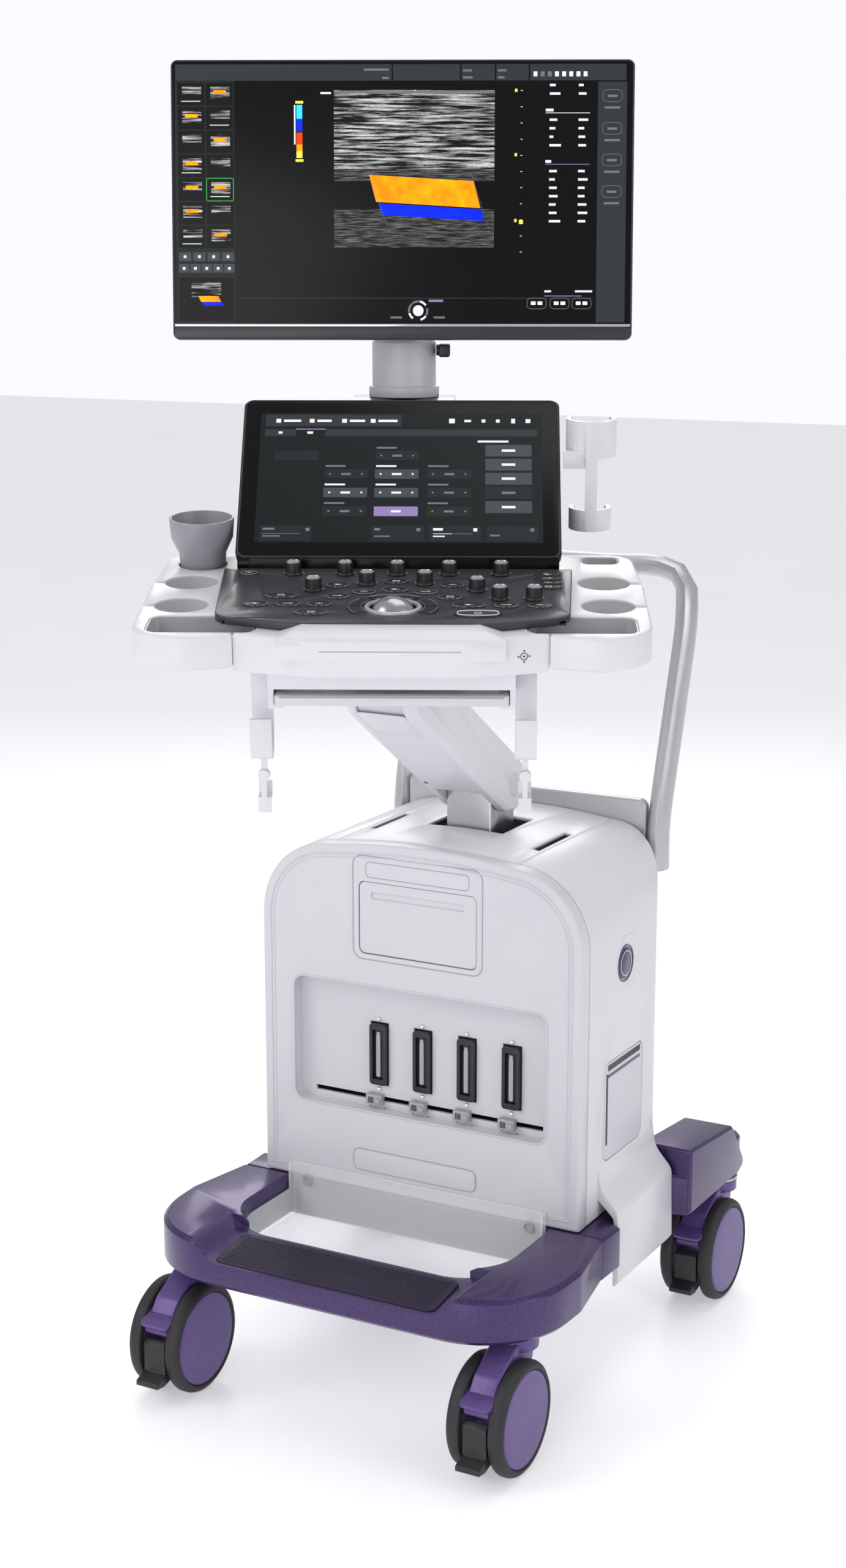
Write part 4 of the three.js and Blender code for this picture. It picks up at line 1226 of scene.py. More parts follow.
@dataclass
class Body(Maker):
    """The electronics body: covers, probe connectors, locks and filter door."""

    front: float = -150.0
    recess_back: float = -131.95
    board_face: float = -137.0
    lock_face: float = -141.4
    lock_height: float = 303.5
    back: float = 120.0
    half_width: float = 205.0
    shoulder_height: float = 516.0
    shoulder_radius: float = 90.0
    panel_bottom: float = 201.0
    crown: float = 8.0
    disc_spot: tuple[float, float] = (-34.0, 480.0)
    pitch: float = 57.2
    centre: float = 27.0
    port_low: float = 323.0
    port_high: float = 393.6

    def build(self) -> None:
        """Dresses the body."""
        for node in ("side_cover_left", "side_cover_right", "top_cover"):
            self.skin(node, "chassis", WHITE, 0.0012)
        self.skin("front_cover", "chassis", COVER_GREY, 0.0012)
        self.skin("option_cover", "chassis", COVER_GREY, 0.0008)
        self.skin("filter_door", "chassis", GREY, 0.0008)
        self.skin("rear_cover", "chassis", GREY, 0.0008)
        self.skin("probe_connector_board", "chassis", BOARD, 0.0005)
        self.skin("electronics_cage", "chassis", CAGE, 0.001)
        self.front_details()
        self.side_details()
        self.rear_details()
        for index in range(4):
            self.port(index)
            self.lock(index)

    def face(self, x: float, z: float, y: float) -> Matrix:
        """A frame on a front-facing surface.

        Args:
            x: its place across.
            z: its height.
            y: its depth.

        Returns:
            A frame whose x is across, y is up and z points out to the front.
        """
        return self.places.floor @ move(x, y, z) @ spin("X", 90)

    def front_details(self) -> None:
        """Rim beads, name plate, the option cover's frame and the lip of the recess."""
        front = self.face(0, 0, self.front)
        for inset, radius, name in ((11.0, 1.0, "front_panel_line"), (15.5, 0.7, "front_panel_inner_line")):
            half, bend = self.half_width - inset, self.shoulder_radius - inset
            flat, bottom = half - bend, self.panel_bottom + inset * 0.6
            bends = [around(bend, angle) for angle in range(0, 91, 6)]
            right = [(flat + x, self.shoulder_height + y, 0) for x, y in bends]
            right += [(x, self.shoulder_height + bend + self.crown * (1 - (x / flat) ** 2), 0)
                      for x in (96, 72, 48, 24)]
            left = [(-x, y, 0) for x, y, _ in reversed(right)]
            line = [(half, bottom, 0), *right, *left, (-half, bottom, 0)]
            self.finish(Bench.loop(line, radius), name, "chassis", GREY, front)
        frame_bead = Bench.ring(-83, 83, 476, 598, 12, 0.7)
        self.finish(frame_bead, "option_frame_line", "chassis", PANEL_GREY, front)
        groove = Bench.ring(-66, 66, 573, 591, 5, 0.5)
        self.finish(groove, "option_frame_strip", "chassis", PANEL_GREY, front)
        plate = Bench.plate((-84, 219, -0.3), (76, 245, 0.6), 8, 0.25, 6)
        self.finish(plate, "name_plate_blank", "chassis", COVER_GREY, front)
        rim = Bench.ring(-84, 76, 219, 245, 8, 0.55)
        self.finish(rim, "name_plate_rim", "chassis", PANEL_GREY, self.face(0, 0, self.front - 0.5))
        mouth = Bench.ring(-164, 164, 292, 445, 14, 1.2)
        self.finish(mouth, "recess_lip", "chassis", GREY, front)

    def side_details(self) -> None:
        """The round dish with its disc, and the filter door's slots and stripe."""
        side = self.places.floor @ move(self.half_width, 0, 0) @ spin("Z", 90) @ spin("X", 90)
        badge = side @ move(*self.disc_spot, 0)
        dish = Bench.turned([(0, 0.3), (26, 0.3), (30, 0.9), (31.5, 0.9), (32.5, 0.2), (32.5, -1),
                             (0, -1)], 64)
        self.finish(dish, "side_dish", "chassis", WHITE, side @ move(-25, 480, 0))
        disc = Bench.turned([(0, 1.5), (17.5, 1.5), (18.4, 1.0), (18.4, 0), (0, 0)], 48)
        self.finish(disc, "side_disc", "chassis", PURPLE_MOULDING, badge)
        ring = Bench.turned([(19.8, 0.2), (21.4, 0.2), (21.4, 1.3), (19.8, 1.3), (19.8, 0.2)], 48)
        self.finish(ring, "side_disc_ring", "chassis", PURPLE_MOULDING, badge)
        inner = Bench.turned([(13.6, 1.4), (14.6, 1.4), (14.6, 1.8), (13.6, 1.8), (13.6, 1.4)], 48)
        self.finish(inner, "side_disc_inner_ring", "chassis", WHITE, badge)
        slots = [(-31, 366.5, 44, 3.2), (-77.5, 318, 1.8, 42)]
        self.bars("filter_door_slots", "chassis", BLACK, side, slots, 0.0, 0.5)
        self.bars("filter_door_stripe", "chassis", PURPLE_MOULDING, side, [(-31, 357, 44, 1.6)], 0.0, 0.5)

    def rear_details(self) -> None:
        """The mains inlet, the cover's screws and the socket panel at the back."""
        back = self.places.floor @ move(0, self.back, 0) @ spin("Z", 180) @ spin("X", 90)
        inlet = Bench.carve(Bench.plate((-25, 226, -12), (25, 254, 0.6), 4, 0.4, 4),
                            Bench.plate((-13, 231, -9), (13, 249, 3), 4, 0.0, 4))
        self.finish(inlet, "mains_inlet", "chassis", BLACK, back)
        self.bars("mains_inlet_pins", "chassis", STEEL, back,
                  [(-7, 239, 1.0, 2.4), (0, 243, 1.0, 2.4), (7, 239, 1.0, 2.4)], -9.2, 7.0)
        panel = Bench.plate((-96, 450, -0.2), (96, 486, 1.2), 5, 0.4, 4)
        self.finish(panel, "socket_panel", "chassis", PANEL_GREY, back)
        holes = [(x, 468, half, 5.5) for x, half in ((-76, 9), (-48, 7), (-20, 7), (8, 9), (40, 12), (74, 9))]
        self.bars("panel_sockets", "chassis", BLACK, back, holes, 1.1, 0.5)
        screw = Bench.turned([(0, 0.4), (1.4, 0.4), (1.8, 1.2), (3.4, 0.9), (4.0, 0), (0, -0.4)], 24)
        for index, (x, y) in enumerate(((-104, 215), (104, 215), (-104, 540), (104, 540))):
            twin = Bench.copy(screw, Matrix.Identity(4))
            self.finish(twin, f"rear_screw_{index + 1}", "chassis", STEEL, back @ move(x, y, 0))
        Bench.drop(screw)

    def port(self, index: int) -> None:
        """The frame, shroud and contact rows of one probe connector.

        Args:
            index: which connector, from the left.
        """
        x = self.centre + (index - 1.5) * self.pitch
        middle = (self.port_low + self.port_high) / 2
        spot = self.face(x, middle, self.board_face)
        half = (self.port_high - self.port_low) / 2
        shroud = Bench.plate((-11, -half - 1.5, -4.4), (11, half + 1.5, 0.9), 4, 0.6, 4)
        hole = Bench.block((-6.8, -half + 5.4, -5), (6.8, half - 5.4, 2))
        shroud = Bench.carve(shroud, hole)
        self.finish(shroud, f"connector_shroud_{index + 1}", "chassis", BLACK, spot)
        tongue = Bench.block((-2.2, -half + 8, -8), (2.2, half - 8, -0.8), 0.4, 1)
        self.finish(tongue, f"connector_tongue_{index + 1}", "chassis", PANEL_GREY, spot)
        rows = [(side * 2.3, -half + 10 + 1.9 * step, 0.25, 0.5) for side in (-1, 1) for step in range(26)]
        self.bars(f"connector_contacts_{index + 1}", "chassis", CHROME, spot, rows, -4.0, 3.0)
        pegs = [Bench.turned([(0, 0), (2.2, 0), (2.2, 2.2), (1.6, 2.8), (0, 2.8)], 16) for _ in range(2)]
        for peg, y in zip(pegs, (-half - 7, half + 7)):
            Bench.turn(peg, move(0, y, -5.0))
        self.finish(Bench.join(pegs), f"connector_pegs_{index + 1}", "chassis", CHROME, spot)

    def lock(self, index: int) -> None:
        """One slide lock with its pin and the padlock marks below it.

        Args:
            index: which lock, from the left.
        """
        body = f"port_lock_{index + 1}"
        self.skin(body, body, PANEL_GREY, 0.0006)
        x = self.centre + (index - 1.5) * self.pitch - 4
        spot = self.face(x, self.lock_height, self.lock_face)
        grip = [(dx, 0.0, 0.5, 3.6) for dx in (-6.0, -4.2, -2.4, -0.6)]
        self.bars(f"lock_grip_{index + 1}", body, BLACK, spot, grip, -0.1, 0.45)
        marks = [(-9, -13.2, 2.2, 1.6), (-9, -10.9, 1.4, 0.35), (9, -13.2, 2.2, 1.6),
                 (10.2, -10.9, 1.4, 0.35)]
        low = self.face(x, self.lock_height, self.recess_back)
        self.bars(f"lock_marks_{index + 1}", "chassis", BLACK, low, marks, 0.0, 0.25)


@dataclass
class Handle(Maker):
    """The rear push handle."""

    def build(self) -> None:
        """Dresses the handle."""
        self.skin("rear_handle", "chassis", SILVER, 0.0012)


@dataclass
class Lift(Maker):
    """The lift arm, its foot and its head."""

    slope: float = 33.6

    def build(self) -> None:
        """Dresses the arm."""
        self.skin("arm_base", "chassis", STEEL, 0.0008)
        self.skin("lift_arm", "lift_arm", WHITE, 0.0016)
        self.skin("arm_head", "arm_head", GREY, 0.0012)
        self.caps()
        self.seams()

    def seams(self) -> None:
        """The joint line and screw on the arm's underside, and the plate over the fork at its head."""
        under = at_joint("arm_lift") @ spin("X", -self.slope) @ spin("X", 180)
        self.bars("arm_cover_line", "lift_arm", GREY, under, [(0, 58, 39.5, 0.5)], 32.9, 0.25)
        self.bars("arm_fastener", "lift_arm", BLACK, under, [(-34, 64, 2.2, 2.2)], 32.9, 0.3)
        cover = Bench.plate((-29.5, 205, 31.2), (29.5, 262, 32.9), 3, 0.4, 2)
        self.finish(cover, "arm_fork_cover", "lift_arm", WHITE, under)

    def caps(self) -> None:
        """Round pin caps on both sides of both pivots."""
        cap = [(0, 0), (13, 0), (13, 0.9), (11.6, 1.6), (9.2, 1.2), (0, 1.2)]
        for name, place in (("foot", "arm_lift"), ("head", "arm_level")):
            for side, label in SIDES:
                spot = at_joint(place) @ move(side * 44.9, 0, 0) @ spin("Y", 90 * side)
                self.finish(Bench.turned(cap, 36), f"arm_cap_{name}_{label}", "lift_arm", GREY, spot)


# ---- console -----------------------------------------------------------------------------------


@dataclass
class Console(Maker):
    """The operator console: tray, wings, deck, keys, knobs, trackball, holders and keyboard."""

    deck_top: float = -27.0
    ball_radius: float = 22.0
    ball_spot: Point = (0.0, -312.5, -37.5)
    slot_across: float = 207.0
    slot_rows: tuple[float, ...] = (-188.0, -275.0)
    knob_places: tuple[tuple[float, float], ...] = (
        (-104, -188), (-52, -188), (0, -188), (52, -188), (104, -188), (-80, -250),
        (-28.5, -226), (28.5, -226), (80, -250), (102, -281), (135, -281))
    key_places: tuple[tuple[float, float, float], ...] = (
        (-149, -186, 8), (-110, -272, 15), (-132, -303, 11), (-101, -303, 11), (-71, -303, 11),
        (-77, -333, 15), (-57, -232, 11), (-55, -275, 11), (-30, -258, 11), (0, -218, 11),
        (0, -250, 12), (30, -258, 11), (56, -232, 11), (54, -277, 11), (72, -306, 15),
        (108, -306, 11), (140, -306, 11), (81, -336, 20), (150, -190, 12), (150, -206, 12),
        (150, -222, 12), (150, -238, 12))

    def build(self) -> None:
        """Dresses the console."""
        self.skin("console_tray", "console", WHITE, 0.0014)
        self.skin("holder_wing_left", "console", WHITE, 0.0014)
        self.skin("holder_wing_right", "console", WHITE, 0.0014)
        self.skin("console_deck", "console", CHARCOAL, 0.0006)
        self.skin("key_mat", "console", BLACK, 0.0005)
        self.skin("gel_cup", "console", CUP_GREY, 0.0006)
        self.skin("tall_probe_holder", "console", WHITE, 0.0008)
        self.skin("keyboard_tray", "keyboard_tray", GREY, 0.0008)
        for side in ("left", "right"):
            self.skin(f"hook_bracket_{side}", "console", WHITE, 0.0008)
            self.skin(f"cable_hook_{side}", f"cable_hook_{side}", WHITE, 0.0006)
        self.knobs()
        self.key_marks()
        self.key_rings()
        self.ball()
        self.liners()
        self.front_marks()

    def spot(self, x: float, y: float, z: float) -> Matrix:
        """A place on the console.

        Args:
            x: across.
            y: inwards.
            z: up from the console's datum.

        Returns:
            The matrix of that place.
        """
        return self.places.desk @ move(x, y, z)

    def knobs(self) -> None:
        """Encoder knobs: knurled skirt, silver ring and dished grey top."""
        body = Bench.turned([(0, 0), (8.6, 0), (8.8, 0.8), (8.5, 1.6), (7.9, 2.2), (7.5, 12.2),
                             (7.3, 12.6), (0, 12.6)], 40)
        ring = Bench.turned([(5.9, 12.4), (7.25, 12.4), (7.25, 13.0), (6.9, 13.4), (6.1, 13.4), (5.9, 13.1),
                             (5.9, 12.4)], 40)
        top = Bench.turned([(0, 12.4), (5.8, 12.4), (5.8, 13.2), (5.2, 13.3), (0, 12.9)], 40)
        rib = Bench.block((7.3, -0.22, 2.6), (8.05, 0.22, 11.6))
        ribs = Bench.join([Bench.copy(rib, spin("Z", a)) for a in range(0, 360, 15)])
        Bench.drop(rib)
        for index, (x, y) in enumerate(self.knob_places):
            name = f"knob_{index + 1}"
            here = self.spot(x, y, self.deck_top + 0.4)
            still = Matrix.Identity(4)
            self.finish(Bench.copy(body, still), name + "_skirt", name, BLACK, here, (name,))
            self.finish(Bench.copy(ribs, still), name + "_ribs", name, BLACK, here)
            self.finish(Bench.copy(ring, still), name + "_ring", name, CHROME, here)
            self.finish(Bench.copy(top, still), name + "_top", name, PANEL_GREY, here)
        Bench.drop(body, ring, top, ribs)
        arcs = []
        for x, y in self.knob_places:
            for step in range(-3, 4):
                across, along = around(11.6, 90 + 18 * step)
                arcs.append((x + across, y + along, 0.8, 0.45))
        # The scale marks glow faintly: painted light on printed marks.
        self.bars("knob_scale_marks", "console", KEY_MARK_GLOW, self.spot(0, 0, 0), arcs, self.deck_top, 0.15)

    def key_marks(self) -> None:
        """Small generic symbols on each key, with a faint painted glow."""
        rects = []
        for index, (x, y, half) in enumerate(self.key_places):
            kind = index % 4
            if kind == 0:
                rects += [(x - 2.4, y, 1.2, 0.5), (x + 2.4, y, 1.2, 0.5), (x, y, 0.5, 2.2)]
            elif kind == 1:
                rects += [(x, y + 2.0, 3.4, 0.4), (x, y - 2.0, 3.4, 0.4), (x - 3.0, y, 0.4, 2.0),
                          (x + 3.0, y, 0.4, 2.0)]
            elif kind == 2:
                rects += [(x - 1.6, y + 1.2, 2.4, 0.45), (x + 1.2, y - 0.2, 2.8, 0.45),
                          (x - 0.8, y - 1.6, 1.8, 0.45)]
            else:
                rects += [(x, y, min(half - 5, 5.0), 0.5), (x + 2.2, y + 1.5, 0.5, 1.2)]
        level = self.deck_top + 1.5
        # The symbols glow faintly: painted light on printed marks.
        self.bars("key_symbols", "console", KEY_MARK_GLOW, self.spot(0, 0, 0), rects, level - 0.1, 0.22)

    def key_rings(self) -> None:
        """Fine bright rims of the round keys and the white outline of the large one, which glows faintly with
        painted light.
        """
        rims = [Bench.oval(x, y, self.deck_top + 1.2, half + 0.2, min(half, 7.6), 0.22)
                for x, y, half in self.key_places[:17]]
        self.finish(Bench.join(rims), "key_rims", "console", DISH, self.spot(0, 0, 0))
        # The outline glows faintly: painted light on a printed mark.
        outline = Bench.oval(81, -336, self.deck_top + 1.7, 19.5, 8.6, 0.5, 0.6)
        self.finish(outline, "large_key_outline", "console", KEY_MARK_GLOW, self.spot(0, 0, 0))
        plate = Bench.plate((-147, -349.5, self.deck_top - 0.3), (-96, -343.5, self.deck_top + 0.5), 2,
                            0.2, 3)
        self.finish(plate, "deck_plate_blank", "console", BEZEL, self.spot(0, 0, 0))

    def liners(self) -> None:
        """Soft liners in the probe slots and metallic liners in the two dishes."""
        for side, label in SIDES:
            for index, y in enumerate(self.slot_rows):
                liner = Bench.turned([(25.0, -66), (26.8, -66), (26.8, -36.4), (26.4, -35.9),
                                      (25.0, -36.4), (25.0, -66)], 48)
                low, high = sorted((0.0, side * 40.0))
                Bench.carve(liner, Bench.block((low, -5.4, -80), (high, 5.4, 0)))
                self.finish(liner, f"slot_liner_{label}_{index + 1}", "console", LINER,
                            self.spot(side * self.slot_across, y, 0))
            low, high = sorted((side * 128.0, side * 231.4))
            tray = Bench.carve(Bench.plate((low, -370.4, -51.1), (high, -314.6, -36.0), 11.5, 0.0, 6),
                               Bench.plate((low + 1.4, -369.0, -49.9), (high - 1.4, -316.0, -20), 10,
                                           0.0, 6))
            self.finish(tray, f"dish_liner_{label}", "console", DISH, self.spot(0, 0, 0))
        slot = Bench.carve(Bench.plate((187.4, -111.6, -66), (226.6, -82.4, -36), 9.6, 0.0, 5),
                           Bench.plate((189.2, -109.8, -80), (224.8, -84.2, 0), 8, 0.0, 5))
        self.finish(slot, "small_slot_liner", "console", LINER, self.spot(0, 0, 0))

    def front_marks(self) -> None:
        """The fine line on the front of the tray, its four-arrow ring and the keyboard's finger mark."""
        front = self.spot(0, -398, 0) @ spin("X", 90)
        self.bars("front_line", "console", PANEL_GREY, front, [(0, -46, 66, 0.5)], -0.1, 0.25)
        sweep = math.degrees(math.atan2(22, 72.8))
        ring = self.spot(124, -383.4, -54) @ spin("Z", sweep) @ spin("X", 90)
        self.finish(Bench.oval(0, 0, 0.1, 3.4, 3.4, 0.3), "swivel_ring_mark", "console", BLACK, ring)
        arrows = [(0, 5.4, 0.7, 0.7), (0, -5.4, 0.7, 0.7), (5.4, 0, 0.7, 0.7), (-5.4, 0, 0.7, 0.7),
                  (0, 0, 0.8, 0.8)]
        self.bars("swivel_arrow_marks", "console", BLACK, ring, arrows, -0.1, 0.3)
        tray = self.spot(0, -372, 0) @ spin("X", 90)
        self.bars("keyboard_grip_line", "keyboard_tray", CUP_GREY, tray, [(0, -98.2, 106, 0.6)], -0.1, 0.3)

    def ball(self) -> None:
        """The trackball, its socket ring and the bright edges of the keys round it."""
        middle = self.spot(0, self.ball_spot[1], 0)
        half_circle = [around(self.ball_radius, angle) for angle in range(0, 181, 5)]
        ball = Bench.turned([(side, -up) for up, side in half_circle], 64)
        self.finish(ball, "trackball_ball", "trackball", BALL_SILVER, self.spot(*self.ball_spot),
                    ("trackball",))
        ring = Bench.turned([(23.2, -27.2), (27.6, -27.2), (27.2, -25.2), (25.4, -24.4), (23.8, -24.8),
                             (23.2, -27.2)], 64)
        self.finish(ring, "trackball_ring", "console", DISH, middle)
        edges = []
        for radius in (30.4, 42.6):
            for start, stop in ((-33, -1), (7, 39), (55, 95), (85, 125), (141, 173), (181, 213)):
                arc = [(*around(radius, angle), self.deck_top + 1.5) for angle in range(start, stop + 1, 4)]
                edges.append(Bench.tube(arc, 0.22, smooth=False))
        self.finish(Bench.join(edges), "arc_key_edges", "console", DISH, middle)


# ---- displays ----------------------------------------------------------------------------------


@dataclass
class Display(Maker):
    """What both displays share: flat lit marks on a glass."""

    body: str = "console"
    page: Optional[Matrix] = None

    def marks(self, name: str, coat: Finish, rects: Sequence[Rect], level: float = 0.1) -> None:
        """Lit rectangles on the page.

        Args:
            name: the piece's name.
            coat: its finish.
            rects: each one's left, bottom, right and top.
            level: height of their undersides above the glass.
        """
        middles = [((a + c) / 2, (b + d) / 2, (c - a) / 2, (d - b) / 2) for a, b, c, d in rects]
        self.bars(name, self.body, coat, self.page, middles, level, 0.08)

    def frames(self, name: str, coat: Finish, rects: Sequence[Rect], power: float = 0.25) -> None:
        """Thin lit outlines on the page.

        Args:
            name: the piece's name.
            coat: its finish.
            rects: each one's left, bottom, right and top.
            power: squareness, from 1 for an ellipse down to 0 for a rectangle.
        """
        beads = [Bench.oval((a + c) / 2, (b + d) / 2, 0.3, (c - a) / 2, (d - b) / 2, 0.28, power)
                 for a, b, c, d in rects]
        self.finish(Bench.join(beads), name, self.body, coat, self.page)

    @staticmethod
    def lines(left: float, top: float, widths: Sequence[float], pitch: float, height: float) -> list[Rect]:
        """Blank bars that stand for lines of words.

        Args:
            left: left end of every bar.
            top: top of the first bar.
            widths: length of each bar.
            pitch: distance from bar to bar.
            height: height of a bar.

        Returns:
            Their rectangles.
        """
        return [(left, top - row * pitch - height, left + width, top - row * pitch)
                for row, width in enumerate(widths)]


@dataclass
class TouchPanel(Display):
    """The touch panel on its housing, with its page of controls."""

    columns: tuple[tuple[float, float], ...] = ((-78.5, -33.4), (-26.0, 19.0), (28.0, 73.6))
    rows: tuple[float, ...] = (33.8, 10.2, -13.4, -37.0)
    presets: tuple[float, ...] = (31.0, 13.0, -5.0, -23.0, -41.0)

    def build(self) -> None:
        """Dresses the touch panel."""
        self.skin("touch_panel", "console", GLASS, 0.001)
        self.page = self.places.touch
        rim = Bench.ring(-163.5, 163.5, -99.5, 99.5, 8, 0.9)
        self.finish(rim, "touch_rim", "console", BEZEL, self.page)
        self.marks("touch_page", LIT_PAGE, [(-147, -82, 147, 83)], 0.0)
        self.header()
        self.controls()
        self.footer()

    def header(self) -> None:
        """The header with its icons, and the line of tabs."""
        self.marks("touch_header", LIT_BAR, [(-142, 66, 0, 81), (-142, 53, 142, 62)])
        self.marks("touch_tab", LIT_PAGE, [(-110, 53, -79, 62)], 0.2)
        words = [(-123, 71.5, -105, 74.5), (-88, 71.5, -73, 74.5), (-54, 71.5, -38, 74.5),
                 (-24, 71.5, -4, 74.5), (-128, 56, -124, 59), (-98, 56, -92, 59), (80, 45, 112, 47.5)]
        icons = [(-131, 70.5, -126, 75.5), (-96, 70.5, -91, 75.5), (-62, 70.5, -57, 75.5),
                 (-32, 70.5, -27, 75.5), (50, 70, 56, 76), (66, 71.5, 73, 74.5), (84, 71, 88, 75),
                 (99, 71, 103, 75), (115, 70, 119, 76), (130, 70.5, 135, 75.5)]
        self.marks("touch_header_marks", LIT_TEXT, words + icons, 0.25)
        self.marks("touch_tab_line", LIT_PURPLE, [(-110, 61.4, -79, 62.6)], 0.3)

    def controls(self) -> None:
        """The grid of buttons and the column of presets."""
        buttons: list[Rect] = []
        faint: list[Rect] = []
        words: list[Rect] = []
        quiet: list[Rect] = []
        for column, (left, right) in enumerate(self.columns):
            for row, top in enumerate(self.rows):
                if column != 1 and row == 0:
                    continue
                active = (column == 1 and row in (1, 2)) or (column == 0 and row == 2)
                chosen = column == 1 and row == 3
                middle = (left + right) / 2
                if not chosen:
                    (buttons if active else faint).append((left, top - 12, right, top))
                target = words if active or chosen else quiet
                target.append((middle - 5, top - 7.4, middle + 5, top - 4.8))
                if not chosen:
                    target += [(left + 5, top - 7, left + 7, top - 5),
                               (right - 7, top - 7, right - 5, top - 5)]
                    target.append((left + 1, top + 3, left + 22, top + 5.2))
        faint.append((-131, 22, -85, 34))
        for row, top in enumerate(self.presets):
            (faint if row == 3 else buttons).append((88, top - 4, 136, top + 11))
            (quiet if row == 3 else words).append((105, top + 2, 119, top + 5))
        self.marks("touch_buttons", LIT_BUTTON, buttons)
        self.marks("touch_faint_buttons", LIT_DIM, faint)
        self.marks("touch_chosen_button", LIT_PURPLE, [(-26, -49, 19, -37)])
        self.marks("touch_button_marks", LIT_TEXT, words, 0.25)
        self.marks("touch_faint_marks", LIT_FAINT, quiet, 0.25)

    def footer(self) -> None:
        """The row of dial readouts along the bottom."""
        boxes = [(-142, -80, -89, -61), (-28, -80, 26, -61), (31, -80, 84, -61), (90, -80, 142, -61)]
        self.marks("touch_readouts", LIT_DIM, boxes)
        self.marks("touch_readout_marks", LIT_TEXT, [(35, -67, 45, -64), (35, -75, 47, -73.4),
                                                     (76, -68, 80, -64), (35, -71.4, 54, -70.8)], 0.25)
        faint = [(-139, -66.5, -127, -64), (-139, -71.4, -101, -70.8), (-139, -75, -121, -73.4),
                 (-25, -67, -19, -64), (-25, -75, -9, -73.4), (54, -71.4, 75, -70.8),
                 (93, -74, 103, -72), (-95, -68, -91, -64), (18, -68, 22, -64), (134, -68, 138, -64)]
        self.marks("touch_readout_faint", LIT_FAINT, faint, 0.25)


